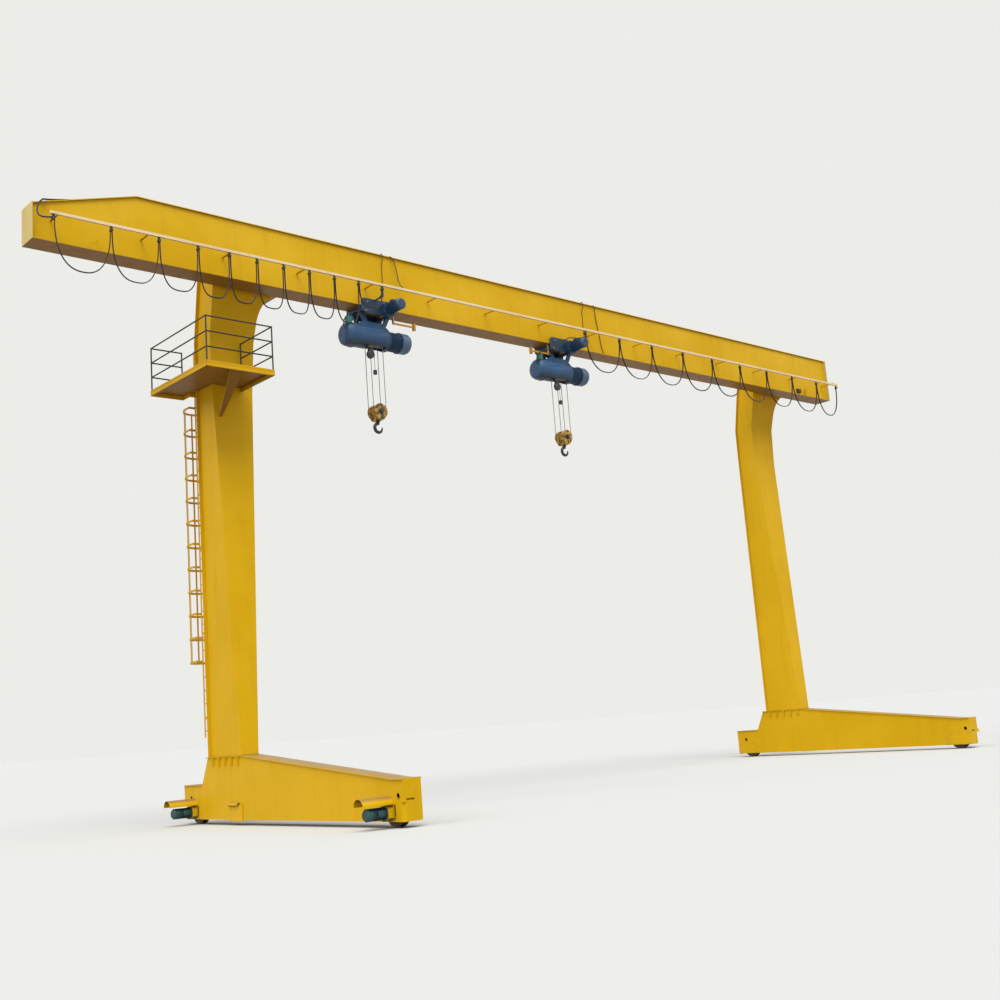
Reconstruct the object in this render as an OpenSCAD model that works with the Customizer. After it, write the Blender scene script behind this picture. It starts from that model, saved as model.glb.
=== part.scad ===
/* [Main girder] */
// Length of the girder over its end plates
girder_len = 28300; // [26000:100:31000]
// Depth of the girder over its flanges
girder_depth = 1480; // [1300:10:1700]
// Width of the bottom flange, which the trolleys straddle
flange_w = 580; // [500:10:680]
// Distance over the two webs
web_span = 390; // [340:10:420]
// Depth left at the tapered end
taper_end_depth = 800; // [600:10:1100]
// Length of the tapered end
taper_len = 2300; // [1500:50:3000]
// Thickness of the flanges
flange_t = 20; // [14:1:30]
// Thickness of the webs
web_t = 10; // [8:1:16]
// Overhang of the tapered end past the near leg's web
overhang = 4550; // [4000:50:5200]

/* [Legs] */
// Clear height under the girder above the rail
under_girder = 12110; // [11000:10:13000]
// Distance between the two legs
leg_span = 20400; // [18000:100:21500]
// Width of a column at its foot, along the girder
foot_w = 420; // [380:10:520]
// Depth of a column at its foot, along the rail
foot_d = 1330; // [1200:10:1500]
// Depth of a column at its neck
neck_d = 660; // [560:10:760]
// Outward lean of the column's outer face at the neck
neck_out = 60; // [20:5:120]
// Inward spread of the column's inner face at the neck
neck_in = 560; // [400:10:700]
// Thickness of the column's plates
column_t = 12; // [8:1:20]
// Overhang of the column's rear plate past its sides
rear_plate_over = 75; // [40:5:100]

/* [Ground beams] */
// Length of a ground beam
beam_len = 8400; // [7800:100:9600]
// Height of a ground beam at its ends
beam_low = 740; // [680:10:820]
// Height of a ground beam under the column
beam_high = 1330; // [1200:10:1500]
// Distance from a ground beam's end to its axle
wheel_inset = 450; // [430:10:700]
// Radius of a wheel's tread
wheel_r = 250; // [220:5:270]
// Radius of a wheel's flanges
wheel_flange_r = 275; // [245:5:300]
// Width of a wheel over its flanges
wheel_w = 150; // [120:5:180]
// Radius of a wheel's axle
axle_r = 55; // [40:1:70]
// Recess of the beam's rear part on each side
rear_recess = 30; // [15:1:45]
// Radius of a travel motor
travel_motor_r = 115; // [90:1:125]
// Length of a travel motor
travel_motor_len = 430; // [340:10:480]
// Radius of the rain hood over a travel motor
hood_r = 150; // [135:1:180]
// Length of the rain hood
hood_len = 670; // [560:10:760]
// Gap between the beam's lower edge and the floor
beam_gap = 115; // [90:5:150]

/* [Platform and ladder] */
// Height of the platform's underside
platform_z = 9775; // [9400:25:9900]
// Width of the platform along the girder
platform_w = 1690; // [1500:10:1800]
// Depth of the platform along the rail
platform_d = 2700; // [2500:10:2900]
// Height of the railing above the floor
rail_h = 1050; // [900:10:1100]
// Radius of the railing's tubes
rail_r = 17; // [12:1:24]
// Height of the toe board
toe_h = 100; // [80:5:150]
// Distance between two rungs
rung_pitch = 300; // [250:10:350]
// Distance between two cage hoops
hoop_pitch = 540; // [400:10:700]
// Clear radius of the cage
cage_r = 350; // [320:5:400]

/* [Hoists] */
// Place of the first hoist along the girder, from the near leg's web
hoist1_at = 4020; // [3900:20:4300]
// Place of the second hoist along the girder, from the near leg's web
hoist2_at = 10450; // [10200:50:11500]
// Depth of the drum's axis below the girder
drum_drop = 720; // [680:10:800]
// Radius of the drum housing
drum_r = 280; // [240:5:300]
// Length of the drum housing
drum_len = 960; // [860:10:1040]
// Length of the lift gearbox
gearbox_len = 290; // [240:10:340]
// Length of the lift motor
motor_len = 430; // [380:10:480]
// Length of the brake cover
brake_len = 320; // [260:10:380]
// Radius of a hoist rope
rope_r = 9; // [6:1:12]
// Radius of the rope's bend round the block's sheaves
sheave_r = 180; // [150:5:210]
// Distance between the block's two sheaves
sheave_gap = 220; // [190:5:250]
// Depth of the block's axle below the girder
block_drop = 2615; // [2400:5:3000]

/* [Festoon] */
// Distance of the cable rail in front of the flange
festoon_out = 400; // [360:10:440]
// Height of the cable rail above the girder's lower edge
festoon_up = 450; // [420:10:500]
// Depth of the cable loops
loop_depth = 1080; // [900:10:1150]
// Radius of a festoon cable
cable_r = 14; // [10:1:20]

/* [Hidden] */

paint = "#e0a92c";
dark_steel = "#3a3a3c";
rail_steel = "#c9b48d";
blue = "#2f5f96";
green = "#245a58";
brass = "#b8913a";
cable_black = "#1c1c1e";

// Places along the girder, with the origin midway along it
x_left = -girder_len / 2;
near_x = x_left + overhang;
far_x = near_x + leg_span;
// Seating gap between a piece and what carries it
seat = 0.3;

// Heights
girder_z = under_girder;
girder_top = girder_z + girder_depth;
beam_top = beam_gap + beam_high;
top_plate_t = 20;
column_z = beam_top + top_plate_t;

// Places along the rail, with the origin midway between the axles
column_rear = 2830;
column_front = column_rear - foot_d;
neck_rear = 2770;
neck_front = neck_rear - neck_d;
girder_y = 1390;
flange_front = girder_y - flange_w / 2;
flange_rear = girder_y + flange_w / 2;
web_rear = girder_y + web_span / 2;
web_front = girder_y - web_span / 2;

// A plate outline in the XZ plane, extruded from y by d
module upright_x(y, d) {
  translate([0, y + d, 0])
    rotate([90, 0, 0])
      linear_extrude(d) children();
}

// A plate outline in the YZ plane, extruded from x by w
module upright_y(x, w) {
  translate([x, 0, 0])
    rotate([90, 0, 90])
      linear_extrude(w) children();
}

// A bar of radius r between two points
module bar(a, b, r, sides = 24) {
  v = b - a;
  len = norm(v);
  translate(a)
    rotate([0, acos(v[2] / len), atan2(v[1], v[0])])
      cylinder(h = len, r = r, $fn = sides);
}

// Main girder
function web_outline(low, high) = [
  [x_left + end_t, low],
  [-x_left - end_t, low],
  [-x_left - end_t, high],
  [x_left + taper_len, high],
  [x_left + end_t, high - girder_depth + taper_end_depth + taper_rise * end_t]
];
end_t = 12;
taper_rise = (girder_depth - taper_end_depth) / taper_len;

module girder_bottom_flange() {
  color(paint)
    translate([x_left + end_t, flange_front, girder_z])
      cube([girder_len - 2 * end_t, flange_w, flange_t]);
}

top_flange_w = web_span + 80;
module girder_top_flange() {
  color(paint)
    upright_x(girder_y - top_flange_w / 2, top_flange_w)
      polygon([
        [x_left + end_t, girder_z + taper_end_depth + taper_rise * end_t],
        [x_left + taper_len, girder_top],
        [-x_left - end_t, girder_top],
        [-x_left - end_t, girder_top - flange_t],
        [x_left + taper_len, girder_top - flange_t],
        [x_left + end_t, girder_z + taper_end_depth - flange_t + taper_rise * end_t]
      ]);
}

module girder_web(y) {
  color(paint)
    upright_x(y, web_t)
      polygon(web_outline(girder_z + flange_t, girder_top - flange_t));
}
module girder_front_web() {
  girder_web(web_front);
}
module girder_rear_web() {
  girder_web(web_rear - web_t);
}

module girder_end_plates() {
  color(paint) {
    translate([x_left, flange_front, girder_z])
      cube([end_t, flange_w, taper_end_depth]);
    translate([-x_left - end_t, flange_front, girder_z])
      cube([end_t, flange_w, girder_depth]);
  }
}

// End stops on the flange, in the way of the trolleys' wheels
stop_from_end = 1400;
stop_h = 240;
stop_t = 16;
stop_in = 8;
module end_stop(x, side) {
  wide = web_front - flange_front - 2 * stop_in;
  for (y = [flange_front + stop_in, flange_rear - stop_in - wide]) {
    translate([min(x, x + side * stop_t), y, girder_z + flange_t])
      cube([stop_t, wide, stop_h]);
    upright_x(y + wide / 2 - stop_t / 2, stop_t)
      polygon([
        [x, girder_z + flange_t],
        [x + side * 220, girder_z + flange_t],
        [x + side * stop_t, girder_z + flange_t + stop_h - 40],
        [x, girder_z + flange_t + stop_h - 40]
      ]);
  }
}
module trolley_end_stops() {
  color(paint) {
    end_stop(x_left + stop_from_end, -1);
    end_stop(-x_left - stop_from_end, 1);
  }
}

// Columns: a box that tapers both ways, with a head that bends to the girder's rear web
haunch_z = girder_z - 1100;
head_z = girder_z + 260;
head_top = girder_z + 1180;
bend = 250;
flare = 300;
flare_steps = 8;
neck_z = platform_z;
spread_in = neck_in / (neck_z - column_z);
spread_out = neck_out / (neck_z - column_z);

function outer_at(z) = -spread_out * (z - column_z);
function inner_at(z) = foot_w + spread_in * (z - column_z);
function flare_at(k) = flare * (1 - cos(90 * k / flare_steps));
function flare_z(k) = haunch_z + (head_z - haunch_z) * sin(90 * k / flare_steps);

// Column seen along the rail, grown inwards by t
function column_front_view(x, t) = concat(
  [[x + t, column_z - t], [x + foot_w - t, column_z - t]],
  [for (k = [0:flare_steps]) [x + inner_at(flare_z(k)) + flare_at(k) - t, flare_z(k)]],
  [[x + inner_at(head_z) + flare - t, head_top - t]],
  [[x + outer_at(head_z) - flare + t, head_top - t]],
  [for (k = [flare_steps:-1:0]) [x + outer_at(flare_z(k)) - flare_at(k) + t, flare_z(k)]]
);
// Column seen along the girder, grown inwards by t
function column_side_view(t) = [
  [column_front + t, column_z - t],
  [column_rear - t, column_z - t],
  [neck_rear - t, neck_z],
  [neck_rear - 30 - t, haunch_z],
  [neck_rear - bend - t, girder_z],
  [neck_rear - 2 * bend - t, head_top - t],
  [web_rear + t, head_top - t],
  [web_rear + t, head_z + t],
  [neck_front - bend + t, head_z + t],
  [neck_front - bend + t, girder_z],
  [neck_front + t, haunch_z],
  [neck_front + t, neck_z]
];
clip = 2 * column_rear;
module column_block(x, t) {
  intersection() {
    upright_x(0, clip)
      polygon(column_front_view(x, t));
    upright_y(x - clip / 2, clip + foot_w)
      polygon(column_side_view(t));
  }
}
// The rear plate stands past the column's sides all the way up
rear_plate_t = 14;
function rear_line(t) = [
  [column_rear - t, column_z],
  [neck_rear - t, neck_z],
  [neck_rear - 30 - t, haunch_z],
  [neck_rear - bend - t, girder_z],
  [neck_rear - 2 * bend - t, head_top]
];
module column_rear_plate(x, over, grow) {
  line = rear_line(-grow);
  back = rear_line(rear_plate_t + grow);
  intersection() {
    upright_x(0, clip)
      polygon(column_front_view(x, -over));
    upright_y(x - clip / 2, clip + foot_w)
      polygon(concat(line, [for (k = [len(back) - 1:-1:0]) back[k]]));
  }
}
module column(x) {
  color(paint)
    difference() {
      union() {
        column_block(x, 0);
        column_rear_plate(x, rear_plate_over, 0);
      }
      column_block(x, column_t);
    }
}
module near_column() {
  column(near_x);
}
module far_column() {
  column(far_x);
}

// Stiffened feet under the columns: lugs on the beam's webs below the top plate
lug_t = 16;
lug_h = 220;
lug_out = 60;
foot_lug_count = 5;
module foot_lugs(x) {
  for (k = [0:foot_lug_count - 1])
    for (side = [-1, 1]) {
      y = column_front + 120 + k * (foot_d - 240) / (foot_lug_count - 1);
      edge = side < 0 ? x : x + foot_w;
      upright_x(y - lug_t / 2, lug_t)
        polygon([
          [edge, beam_top],
          [edge + side * lug_out, beam_top],
          [edge + side * lug_out, beam_top - lug_h / 2],
          [edge, beam_top - lug_h]
        ]);
    }
}
module column_feet() {
  color(paint) {
    foot_lugs(near_x);
    foot_lugs(far_x);
  }
}

// Ground beams
beam_t = 12;
end_block = 100;
beam_flat = 300;
wheelbase = beam_len - 2 * wheel_inset;
rear_from = 3080;
rear_slant = 90;
rear_w = foot_w - 2 * rear_recess;
pocket_w = rear_w - 2 * beam_t;
pocket_half = wheel_flange_r + 50;
beam_back = 3050;
beam_step = 3350;
axle_z = wheel_flange_r;
box_r = 99.7;
end_round = 90;
end_round_top = 455;
function beam_outline(t, e) = [
  [-beam_len / 2 + e, beam_gap + t],
  [beam_len / 2 - e, beam_gap + t],
  [beam_len / 2 - e, beam_gap + beam_low - t],
  [beam_step - t, beam_gap + beam_low - t],
  [beam_back - t, beam_top - t],
  [column_front, beam_top - t],
  [-beam_len / 2 + beam_flat, beam_gap + beam_low - t],
  [-beam_len / 2 + e, beam_gap + beam_low - t]
];
// Half the beam's width at a wheel
function half_w(y) = y < 0 ? foot_w / 2 : rear_w / 2;
// Rounded lower corner at the beam's end, as the piece to take away
module corner_cut(x, y, sx, sy) {
  translate([x, y, 0])
    linear_extrude(end_round_top)
      difference() {
        translate([sx > 0 ? 0 : -end_round - 1, sy > 0 ? 0 : -end_round - 1])
          square([end_round + 1, end_round + 1]);
        circle(r = end_round, $fn = 64);
      }
}
module ground_beam(x, side) {
  mid = x + foot_w / 2;
  color(paint)
    difference() {
      upright_y(x, foot_w)
        polygon(beam_outline(0, 0));
      for (edge = [x - 1, x + foot_w - rear_recess])
        upright_y(edge, rear_recess + 1)
          polygon([
            [rear_from + rear_slant, 0],
            [beam_len, 0],
            [beam_len, beam_top + 1],
            [rear_from - rear_slant, beam_top + 1]
          ]);
      upright_y(mid - pocket_w / 2, pocket_w)
        polygon(beam_outline(beam_t, end_block));
      intersection() {
        upright_y(x + beam_t, foot_w - 2 * beam_t)
          polygon(beam_outline(beam_t, end_block));
        translate([x, -beam_len, 0])
          cube([foot_w, beam_len + rear_from - rear_slant - beam_t, beam_len]);
      }
      for (y = [-wheelbase / 2, wheelbase / 2]) {
        translate([mid - pocket_w / 2, y - pocket_half, 0])
          cube([pocket_w, 2 * pocket_half, beam_gap + 2 * beam_t]);
        translate([x - 1, y, axle_z])
          rotate([0, 90, 0])
            cylinder(h = foot_w + 2, r = box_r + seat, $fn = 64);
      }
      // Pin holes near both ends and the slot in the front end
      for (y = [-beam_len / 2 + 140, beam_len / 2 - 340])
        translate([x - 1, y, beam_gap + 460])
          rotate([0, 90, 0])
            cylinder(h = foot_w + 2, r = 48, $fn = 48);
      translate([x + 70, -beam_len / 2 - 1, beam_gap + 375])
        cube([180, 41, 32]);
      corner_cut(mid + side * (foot_w / 2 - end_round), end_round - beam_len / 2, side, -1);
      corner_cut(mid + side * (rear_w / 2 - end_round), beam_len / 2 - end_round, side, 1);
    }
}
module near_ground_beam() {
  ground_beam(near_x, -1);
}
module far_ground_beam() {
  ground_beam(far_x, 1);
}

plate_over = 25;
module beam_top_plate(x) {
  color(paint)
    upright_y(x - plate_over, foot_w + 2 * plate_over)
      polygon([
        [-beam_len / 2, beam_gap + beam_low],
        [-beam_len / 2 + beam_flat, beam_gap + beam_low],
        [column_front, beam_top],
        [beam_back, beam_top],
        [beam_back, column_z],
        [column_front, column_z],
        [-beam_len / 2 + beam_flat, beam_gap + beam_low + top_plate_t],
        [-beam_len / 2, beam_gap + beam_low + top_plate_t]
      ]);
  color(paint)
    translate([x + rear_recess - plate_over, beam_step + 3, beam_gap + beam_low])
      cube([rear_w + 2 * plate_over, beam_len / 2 - beam_step - 3, 12]);
}
module near_beam_top_plate() {
  beam_top_plate(near_x);
}
module far_beam_top_plate() {
  beam_top_plate(far_x);
}

// Axle boxes: rings in the beams' webs that hold the axles
box_len = 90;
fit = 0.05;
module axle_box(x, y, side) {
  mid = x + foot_w / 2;
  translate([side < 0 ? mid - half_w(y) : mid + half_w(y) - box_len, y, axle_z])
    rotate([0, 90, 0])
      difference() {
        cylinder(h = box_len, r = box_r, $fn = 64);
        translate([0, 0, -1])
          cylinder(h = box_len + 2, r = axle_r + fit, $fn = 64);
      }
}
module axle_boxes() {
  color(dark_steel)
    for (x = [near_x, far_x])
      for (y = [-wheelbase / 2, wheelbase / 2])
        for (side = [-1, 1])
          axle_box(x, y, side);
}

// Cover plates over the axle ends on the sides without drives
cover_t = 12;
cover_len = 760;
cover_top = 470;
cover_round = 120;
module wheel_cover(x, side, end) {
  mid = x + foot_w / 2;
  edge = mid + side * (half_w(end) + seat);
  outer = end * (beam_len / 2 - 20);
  inner = outer - end * cover_len;
  low = beam_gap + 10;
  upright_y(side < 0 ? edge - cover_t : edge, cover_t) {
    polygon([
      [outer, low],
      [inner, low],
      [inner, cover_top - cover_round],
      [inner + end * cover_round, cover_top - cover_round],
      [inner + end * cover_round, cover_top],
      [outer, cover_top]
    ]);
    translate([inner + end * cover_round, cover_top - cover_round])
      circle(r = cover_round, $fn = 64);
  }
}
module wheel_covers() {
  color(paint)
    for (end = [-1, 1]) {
      wheel_cover(near_x, 1, end);
      wheel_cover(far_x, -1, end);
    }
}

// Travel drives: a gearbox on the axle's end and a motor that stands out from it
gear_len = 110;
gear_half = 140;
gear_low = 140;
gear_high = 400;
axle_in = 80;
function drive_face(x, y, side) = x + foot_w / 2 + side * (half_w(y) + seat);
module travel_gearbox(x, y, side) {
  face = drive_face(x, y, side);
  difference() {
    upright_y(side < 0 ? face - gear_len : face, gear_len)
      polygon([
        [y - gear_half + 50, gear_low],
        [y + gear_half - 50, gear_low],
        [y + gear_half, gear_low + 50],
        [y + gear_half, gear_high - 50],
        [y + gear_half - 50, gear_high],
        [y - gear_half + 50, gear_high],
        [y - gear_half, gear_high - 50],
        [y - gear_half, gear_low + 50]
      ]);
    translate([side < 0 ? face - axle_in - 5 : face - 1, y, axle_z])
      rotate([0, 90, 0])
        cylinder(h = axle_in + 6, r = axle_r + fit, $fn = 64);
  }
}
module travel_gearboxes() {
  color(paint)
    for (y = [-wheelbase / 2, wheelbase / 2]) {
      travel_gearbox(near_x, y, -1);
      travel_gearbox(far_x, y, 1);
    }
}
// A motor turned about its axis: flange, ribbed body, and a rounded fan cover
module travel_motor(x, y, side) {
  translate([drive_face(x, y, side) + side * (gear_len + seat), y, axle_z])
    rotate([0, side * 90, 0])
      rotate_extrude($fn = 64)
        polygon([
          [0, 0],
          [travel_motor_r + 10, 0],
          [travel_motor_r + 10, 20],
          [travel_motor_r - 12, 24],
          [travel_motor_r - 12, travel_motor_len - 130],
          [travel_motor_r, travel_motor_len - 124],
          [travel_motor_r, travel_motor_len - 30],
          [travel_motor_r - 30, travel_motor_len],
          [0, travel_motor_len]
        ]);
}
module travel_motors() {
  color(green)
    for (y = [-wheelbase / 2, wheelbase / 2]) {
      travel_motor(near_x, y, -1);
      travel_motor(far_x, y, 1);
    }
}
hood_t = 4;
hood_z = 425;
module motor_hood(x, y, side) {
  face = drive_face(x, y, side);
  translate([side < 0 ? face - hood_len : face, y, hood_z])
    rotate([90, 0, 90])
      linear_extrude(hood_len)
        difference() {
          circle(r = hood_r, $fn = 64);
          circle(r = hood_r - hood_t, $fn = 64);
          translate([-hood_r - 1, -hood_r - 1])
            square([2 * hood_r + 2, hood_r + 1]);
        }
}
module motor_hoods() {
  color(paint)
    for (y = [-wheelbase / 2, wheelbase / 2]) {
      motor_hood(near_x, y, -1);
      motor_hood(far_x, y, 1);
    }
}

// Jacking brackets on the beams' webs: a plate with a foot and a tube along its top
jack_y = 1770;
jack_w = 560;
jack_low = 90;
jack_high = 440;
jack_t = 35;
jack_r = 42;
module jacking_bracket(edge, side) {
  upright_y(side < 0 ? edge - jack_t : edge, jack_t)
    polygon([
      [jack_y - jack_w / 2, jack_low],
      [jack_y + jack_w / 2 - 60, jack_low],
      [jack_y + jack_w / 2, jack_low + 60],
      [jack_y + jack_w / 2, jack_high],
      [jack_y - jack_w / 2, jack_high]
    ]);
  translate([edge + side * jack_r, jack_y - 150, jack_high])
    rotate([-90, 0, 0])
      difference() {
        cylinder(h = 400, r = jack_r - seat, $fn = 48);
        translate([0, 0, -1])
          cylinder(h = 402, r = jack_r - 10, $fn = 48);
      }
}
module jacking_brackets() {
  color(paint) {
    jacking_bracket(near_x - seat, -1);
    jacking_bracket(far_x + foot_w + seat, 1);
  }
}

// Travelling wheels, each one piece with its axle
module travel_wheel(x, y, side) {
  mid = x + foot_w / 2;
  drive = half_w(y) + seat + axle_in;
  idle = half_w(y) - 5;
  low = side < 0 ? drive : idle;
  high = side < 0 ? idle : drive;
  translate([mid, y, axle_z])
    rotate([0, 90, 0])
      color(dark_steel) {
        translate([0, 0, -wheel_w / 2])
          rotate_extrude($fn = 96)
            polygon([
              [0, 0],
              [wheel_flange_r, 0],
              [wheel_flange_r, 25],
              [wheel_r, 30],
              [wheel_r, wheel_w - 30],
              [wheel_flange_r, wheel_w - 25],
              [wheel_flange_r, wheel_w],
              [0, wheel_w]
            ]);
        translate([0, 0, -low])
          cylinder(h = low + high, r = axle_r, $fn = 64);
      }
}
module near_front_wheel() {
  travel_wheel(near_x, -wheelbase / 2, -1);
}
module near_rear_wheel() {
  travel_wheel(near_x, wheelbase / 2, -1);
}
module far_front_wheel() {
  travel_wheel(far_x, -wheelbase / 2, 1);
}
module far_rear_wheel() {
  travel_wheel(far_x, wheelbase / 2, 1);
}

// Platform round the near column, with a hatch for the ladder at its rear edge
floor_t = 8;
platform_x = near_x - 990;
platform_y = 620;
platform_rear = platform_y + platform_d;
floor_z = platform_z + 100;
plate_in = 6;
ladder_x = near_x + 200;
ladder_y = 3050;
ladder_w = 420;
hatch_half = 370;
brace_drop = 700;
brace_w = 130;
module platform_floor() {
  color(paint)
    difference() {
      union() {
        difference() {
          translate([platform_x, platform_y, platform_z])
            cube([platform_w, platform_d, floor_z - platform_z + toe_h]);
          translate([platform_x + plate_in, platform_y + plate_in, floor_z])
            cube([platform_w - 2 * plate_in, platform_d - 2 * plate_in, toe_h + 1]);
          translate([platform_x + plate_in, platform_y + plate_in, platform_z - 1])
            cube([platform_w - 2 * plate_in, platform_d - 2 * plate_in, floor_z - floor_t - platform_z + 1]);
        }
        // Braces under the floor, from the column's face
        for (x = [near_x + 5, near_x + 600])
          upright_y(x, 40)
            polygon([
              [platform_y + 200, floor_z - floor_t / 2],
              [platform_y + 200 + brace_w, floor_z - floor_t / 2],
              [platform_y + 200 + brace_w, platform_z],
              [neck_front, platform_z - brace_drop + brace_w],
              [neck_front, platform_z - brace_drop],
              [platform_y + 200, platform_z - 30]
            ]);
      }
      column_block(near_x, -seat);
      column_rear_plate(near_x, rear_plate_over + seat, seat);
      translate([ladder_x - hatch_half, ladder_y - 60, platform_z - 1])
        cube([2 * hatch_half, 1000, 500]);
      // To the right of the column the floor ends at the column's front face
      translate([near_x + 100, neck_front, platform_z - 1])
        cube([platform_w, platform_d, 500]);
    }
}

// One side of the railing: posts and three rails between two corners
module railing_panel(a, b, posts) {
  for (k = [0:posts - 1]) {
    p = a + (b - a) * k / (posts - 1);
    translate([p[0], p[1], floor_z + seat])
      cylinder(h = rail_h - seat, r = rail_r - 2, $fn = 24);
  }
  for (h = [rail_h, rail_h * 2 / 3, rail_h / 3])
    bar([a[0], a[1], floor_z + h], [b[0], b[1], floor_z + h], rail_r);
}
post_in = plate_in + rail_r + seat;
corner_gap = 2 * rail_r + seat;
module railing_left() {
  color(dark_steel)
    railing_panel([platform_x + post_in, platform_y + post_in + corner_gap],
      [platform_x + post_in, platform_rear - post_in - corner_gap], 4);
}
module railing_front() {
  color(dark_steel)
    railing_panel([platform_x + post_in, platform_y + post_in],
      [platform_x + platform_w - post_in, platform_y + post_in], 3);
}
module railing_right() {
  color(dark_steel)
    railing_panel([platform_x + platform_w - post_in, platform_y + post_in + corner_gap],
      [platform_x + platform_w - post_in, neck_front - 60], 3);
}
module railing_rear() {
  color(dark_steel)
    railing_panel([platform_x + post_in, platform_rear - post_in],
      [ladder_x - hatch_half - post_in, platform_rear - post_in], 3);
}

// Ladder and its safety cage behind the near column
ladder_low = 1900;
ladder_high = floor_z + rail_h;
stile_w = 50;
stile_t = 10;
rung_r = 10;
module ladder() {
  color(paint) {
    for (side = [-1, 1])
      translate([ladder_x + side * ladder_w / 2 - stile_t / 2, ladder_y - stile_w / 2, ladder_low])
        cube([stile_t, stile_w, ladder_high - ladder_low]);
    for (z = [ladder_low + 150:rung_pitch:ladder_high - 60])
      translate([ladder_x - ladder_w / 2, ladder_y, z])
        rotate([0, 90, 0])
          cylinder(h = ladder_w, r = rung_r, $fn = 24);
    for (z = [ladder_low + 400:1900:platform_z - 100]) {
      back = column_rear - (column_rear - neck_rear) * (z - column_z) / (neck_z - column_z);
      for (side = [-1, 1])
        translate([ladder_x + side * ladder_w / 2 - stile_t / 2, back + seat, z])
          cube([stile_t, ladder_y - back - seat, 60]);
    }
  }
}
cage_low = 3575;
cage_strip = 50;
cage_t = 6;
cage_y = ladder_y + stile_w / 2 + seat;
cage_deep = 225;
cage_hoops = 12;
strap_w = 40;
strap_face = sqrt(pow(cage_r, 2) - pow(strap_w / 2, 2)) - seat;
cage_high = cage_low + (cage_hoops - 1) * hoop_pitch;
module hoop_outline(r) {
  translate([0, cage_deep])
    circle(r = r, $fn = 64);
  translate([-r, 0])
    square([2 * r, cage_deep]);
}
module ladder_cage() {
  color(paint) {
    for (k = [0:cage_hoops - 1])
      translate([ladder_x, cage_y, cage_low + k * hoop_pitch])
        linear_extrude(cage_strip)
          difference() {
            hoop_outline(cage_r + cage_t);
            difference() {
              hoop_outline(cage_r);
              for (side = [-1, 1])
                translate([side < 0 ? -cage_r - 1 : ladder_w / 2 - 15, 0])
                  square([cage_r + 16 - ladder_w / 2, cage_t]);
            }
            translate([-cage_r - 20, -cage_r - 20])
              square([2 * cage_r + 40, cage_r + 20]);
          }
  }
}
// Straps inside the hoops, flat against them
module cage_straps() {
  color(paint)
    for (a = [0, 45, 90, 135, 180])
      translate([ladder_x, cage_y + cage_deep, cage_low])
        rotate([0, 0, a])
          translate([strap_face - cage_t, -strap_w / 2, 0])
            cube([cage_t, strap_w, cage_high + cage_strip - cage_low]);
}

// Festoon rail, its brackets and its cables
rail_sec = 60;
rail_wall = 6;
rail_y = flange_front - festoon_out;
rail_z = girder_z + festoon_up;
rail_from = x_left + 220;
rail_to = -x_left - 100;
module festoon_rail() {
  color(rail_steel)
    upright_y(rail_from, rail_to - rail_from)
      difference() {
        translate([rail_y - rail_sec / 2, rail_z - rail_sec / 2])
          square([rail_sec, rail_sec]);
        translate([rail_y - rail_sec / 2 + rail_wall, rail_z - rail_sec / 2 + rail_wall])
          square([rail_sec - 2 * rail_wall, rail_sec - 2 * rail_wall]);
        translate([rail_y - 9, rail_z - rail_sec / 2 - 1])
          square([18, rail_wall + 2]);
      }
}
bracket_count = 15;
bracket_s = 40;
bracket_t = 5;
module festoon_brackets() {
  pitch = (rail_to - rail_from - 400) / (bracket_count - 1);
  reach = web_front - seat - rail_y + rail_sec / 2;
  color(paint)
    for (k = [0:bracket_count - 1])
      translate([rail_from + 180 + k * pitch, rail_y - rail_sec / 2, rail_z + rail_sec / 2 + seat]) {
        cube([bracket_s, reach, bracket_t]);
        cube([bracket_t, reach, bracket_s]);
      }
}

// A festoon: cable loops that hang between carriers in the rail
loop_sides = 8;
loop_steps = 14;
carrier_w = 70;
carrier_h = 60;
carrier_drop = 20;
carrier_top = rail_z - rail_sec / 2 - carrier_drop;
loop_top = carrier_top - carrier_h;
// Point on a loop of one depth: pointed where its carriers stand wide apart, round where close
function loop_open(a, b) = min(1, max(0, (b - a - near_gap_min) / (near_gap - near_gap_min)));
function loop_point(a, b, s, depth) = [
  (a + b) / 2 - (b - a) / 2
    * (cos(180 * s) * (1 - loop_open(a, b)) + (1 - 2 * s) * loop_open(a, b)),
  rail_y,
  loop_top - 60 - (depth - 60) * pow(sin(180 * s), 1.5)
];
function tube_ring(p, dir, r, across) = [
  for (k = [0:loop_sides - 1])
    p + r * (cos(360 * k / loop_sides) * across
      + sin(360 * k / loop_sides) * cross(dir, across))
];
// A cable along a flat path, with across as the direction square to its plane
module tube(path, r, across = [0, 1, 0]) {
  n = len(path);
  rings = [
    for (i = [0:n - 1])
      let (
        d = path[min(i + 1, n - 1)] - path[max(i - 1, 0)],
        dir = d / norm(d)
      )
      each tube_ring(path[i], dir, r, across)
  ];
  faces = concat(
    [[for (k = [0:loop_sides - 1]) k]],
    [[for (k = [loop_sides - 1:-1:0]) (n - 1) * loop_sides + k]],
    [for (i = [0:n - 2])
      for (k = [0:loop_sides - 1])
        [
          i * loop_sides + k,
          (i + 1) * loop_sides + k,
          (i + 1) * loop_sides + (k + 1) % loop_sides,
          i * loop_sides + (k + 1) % loop_sides
        ]]
  );
  polyhedron(rings, faces);
}
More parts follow.
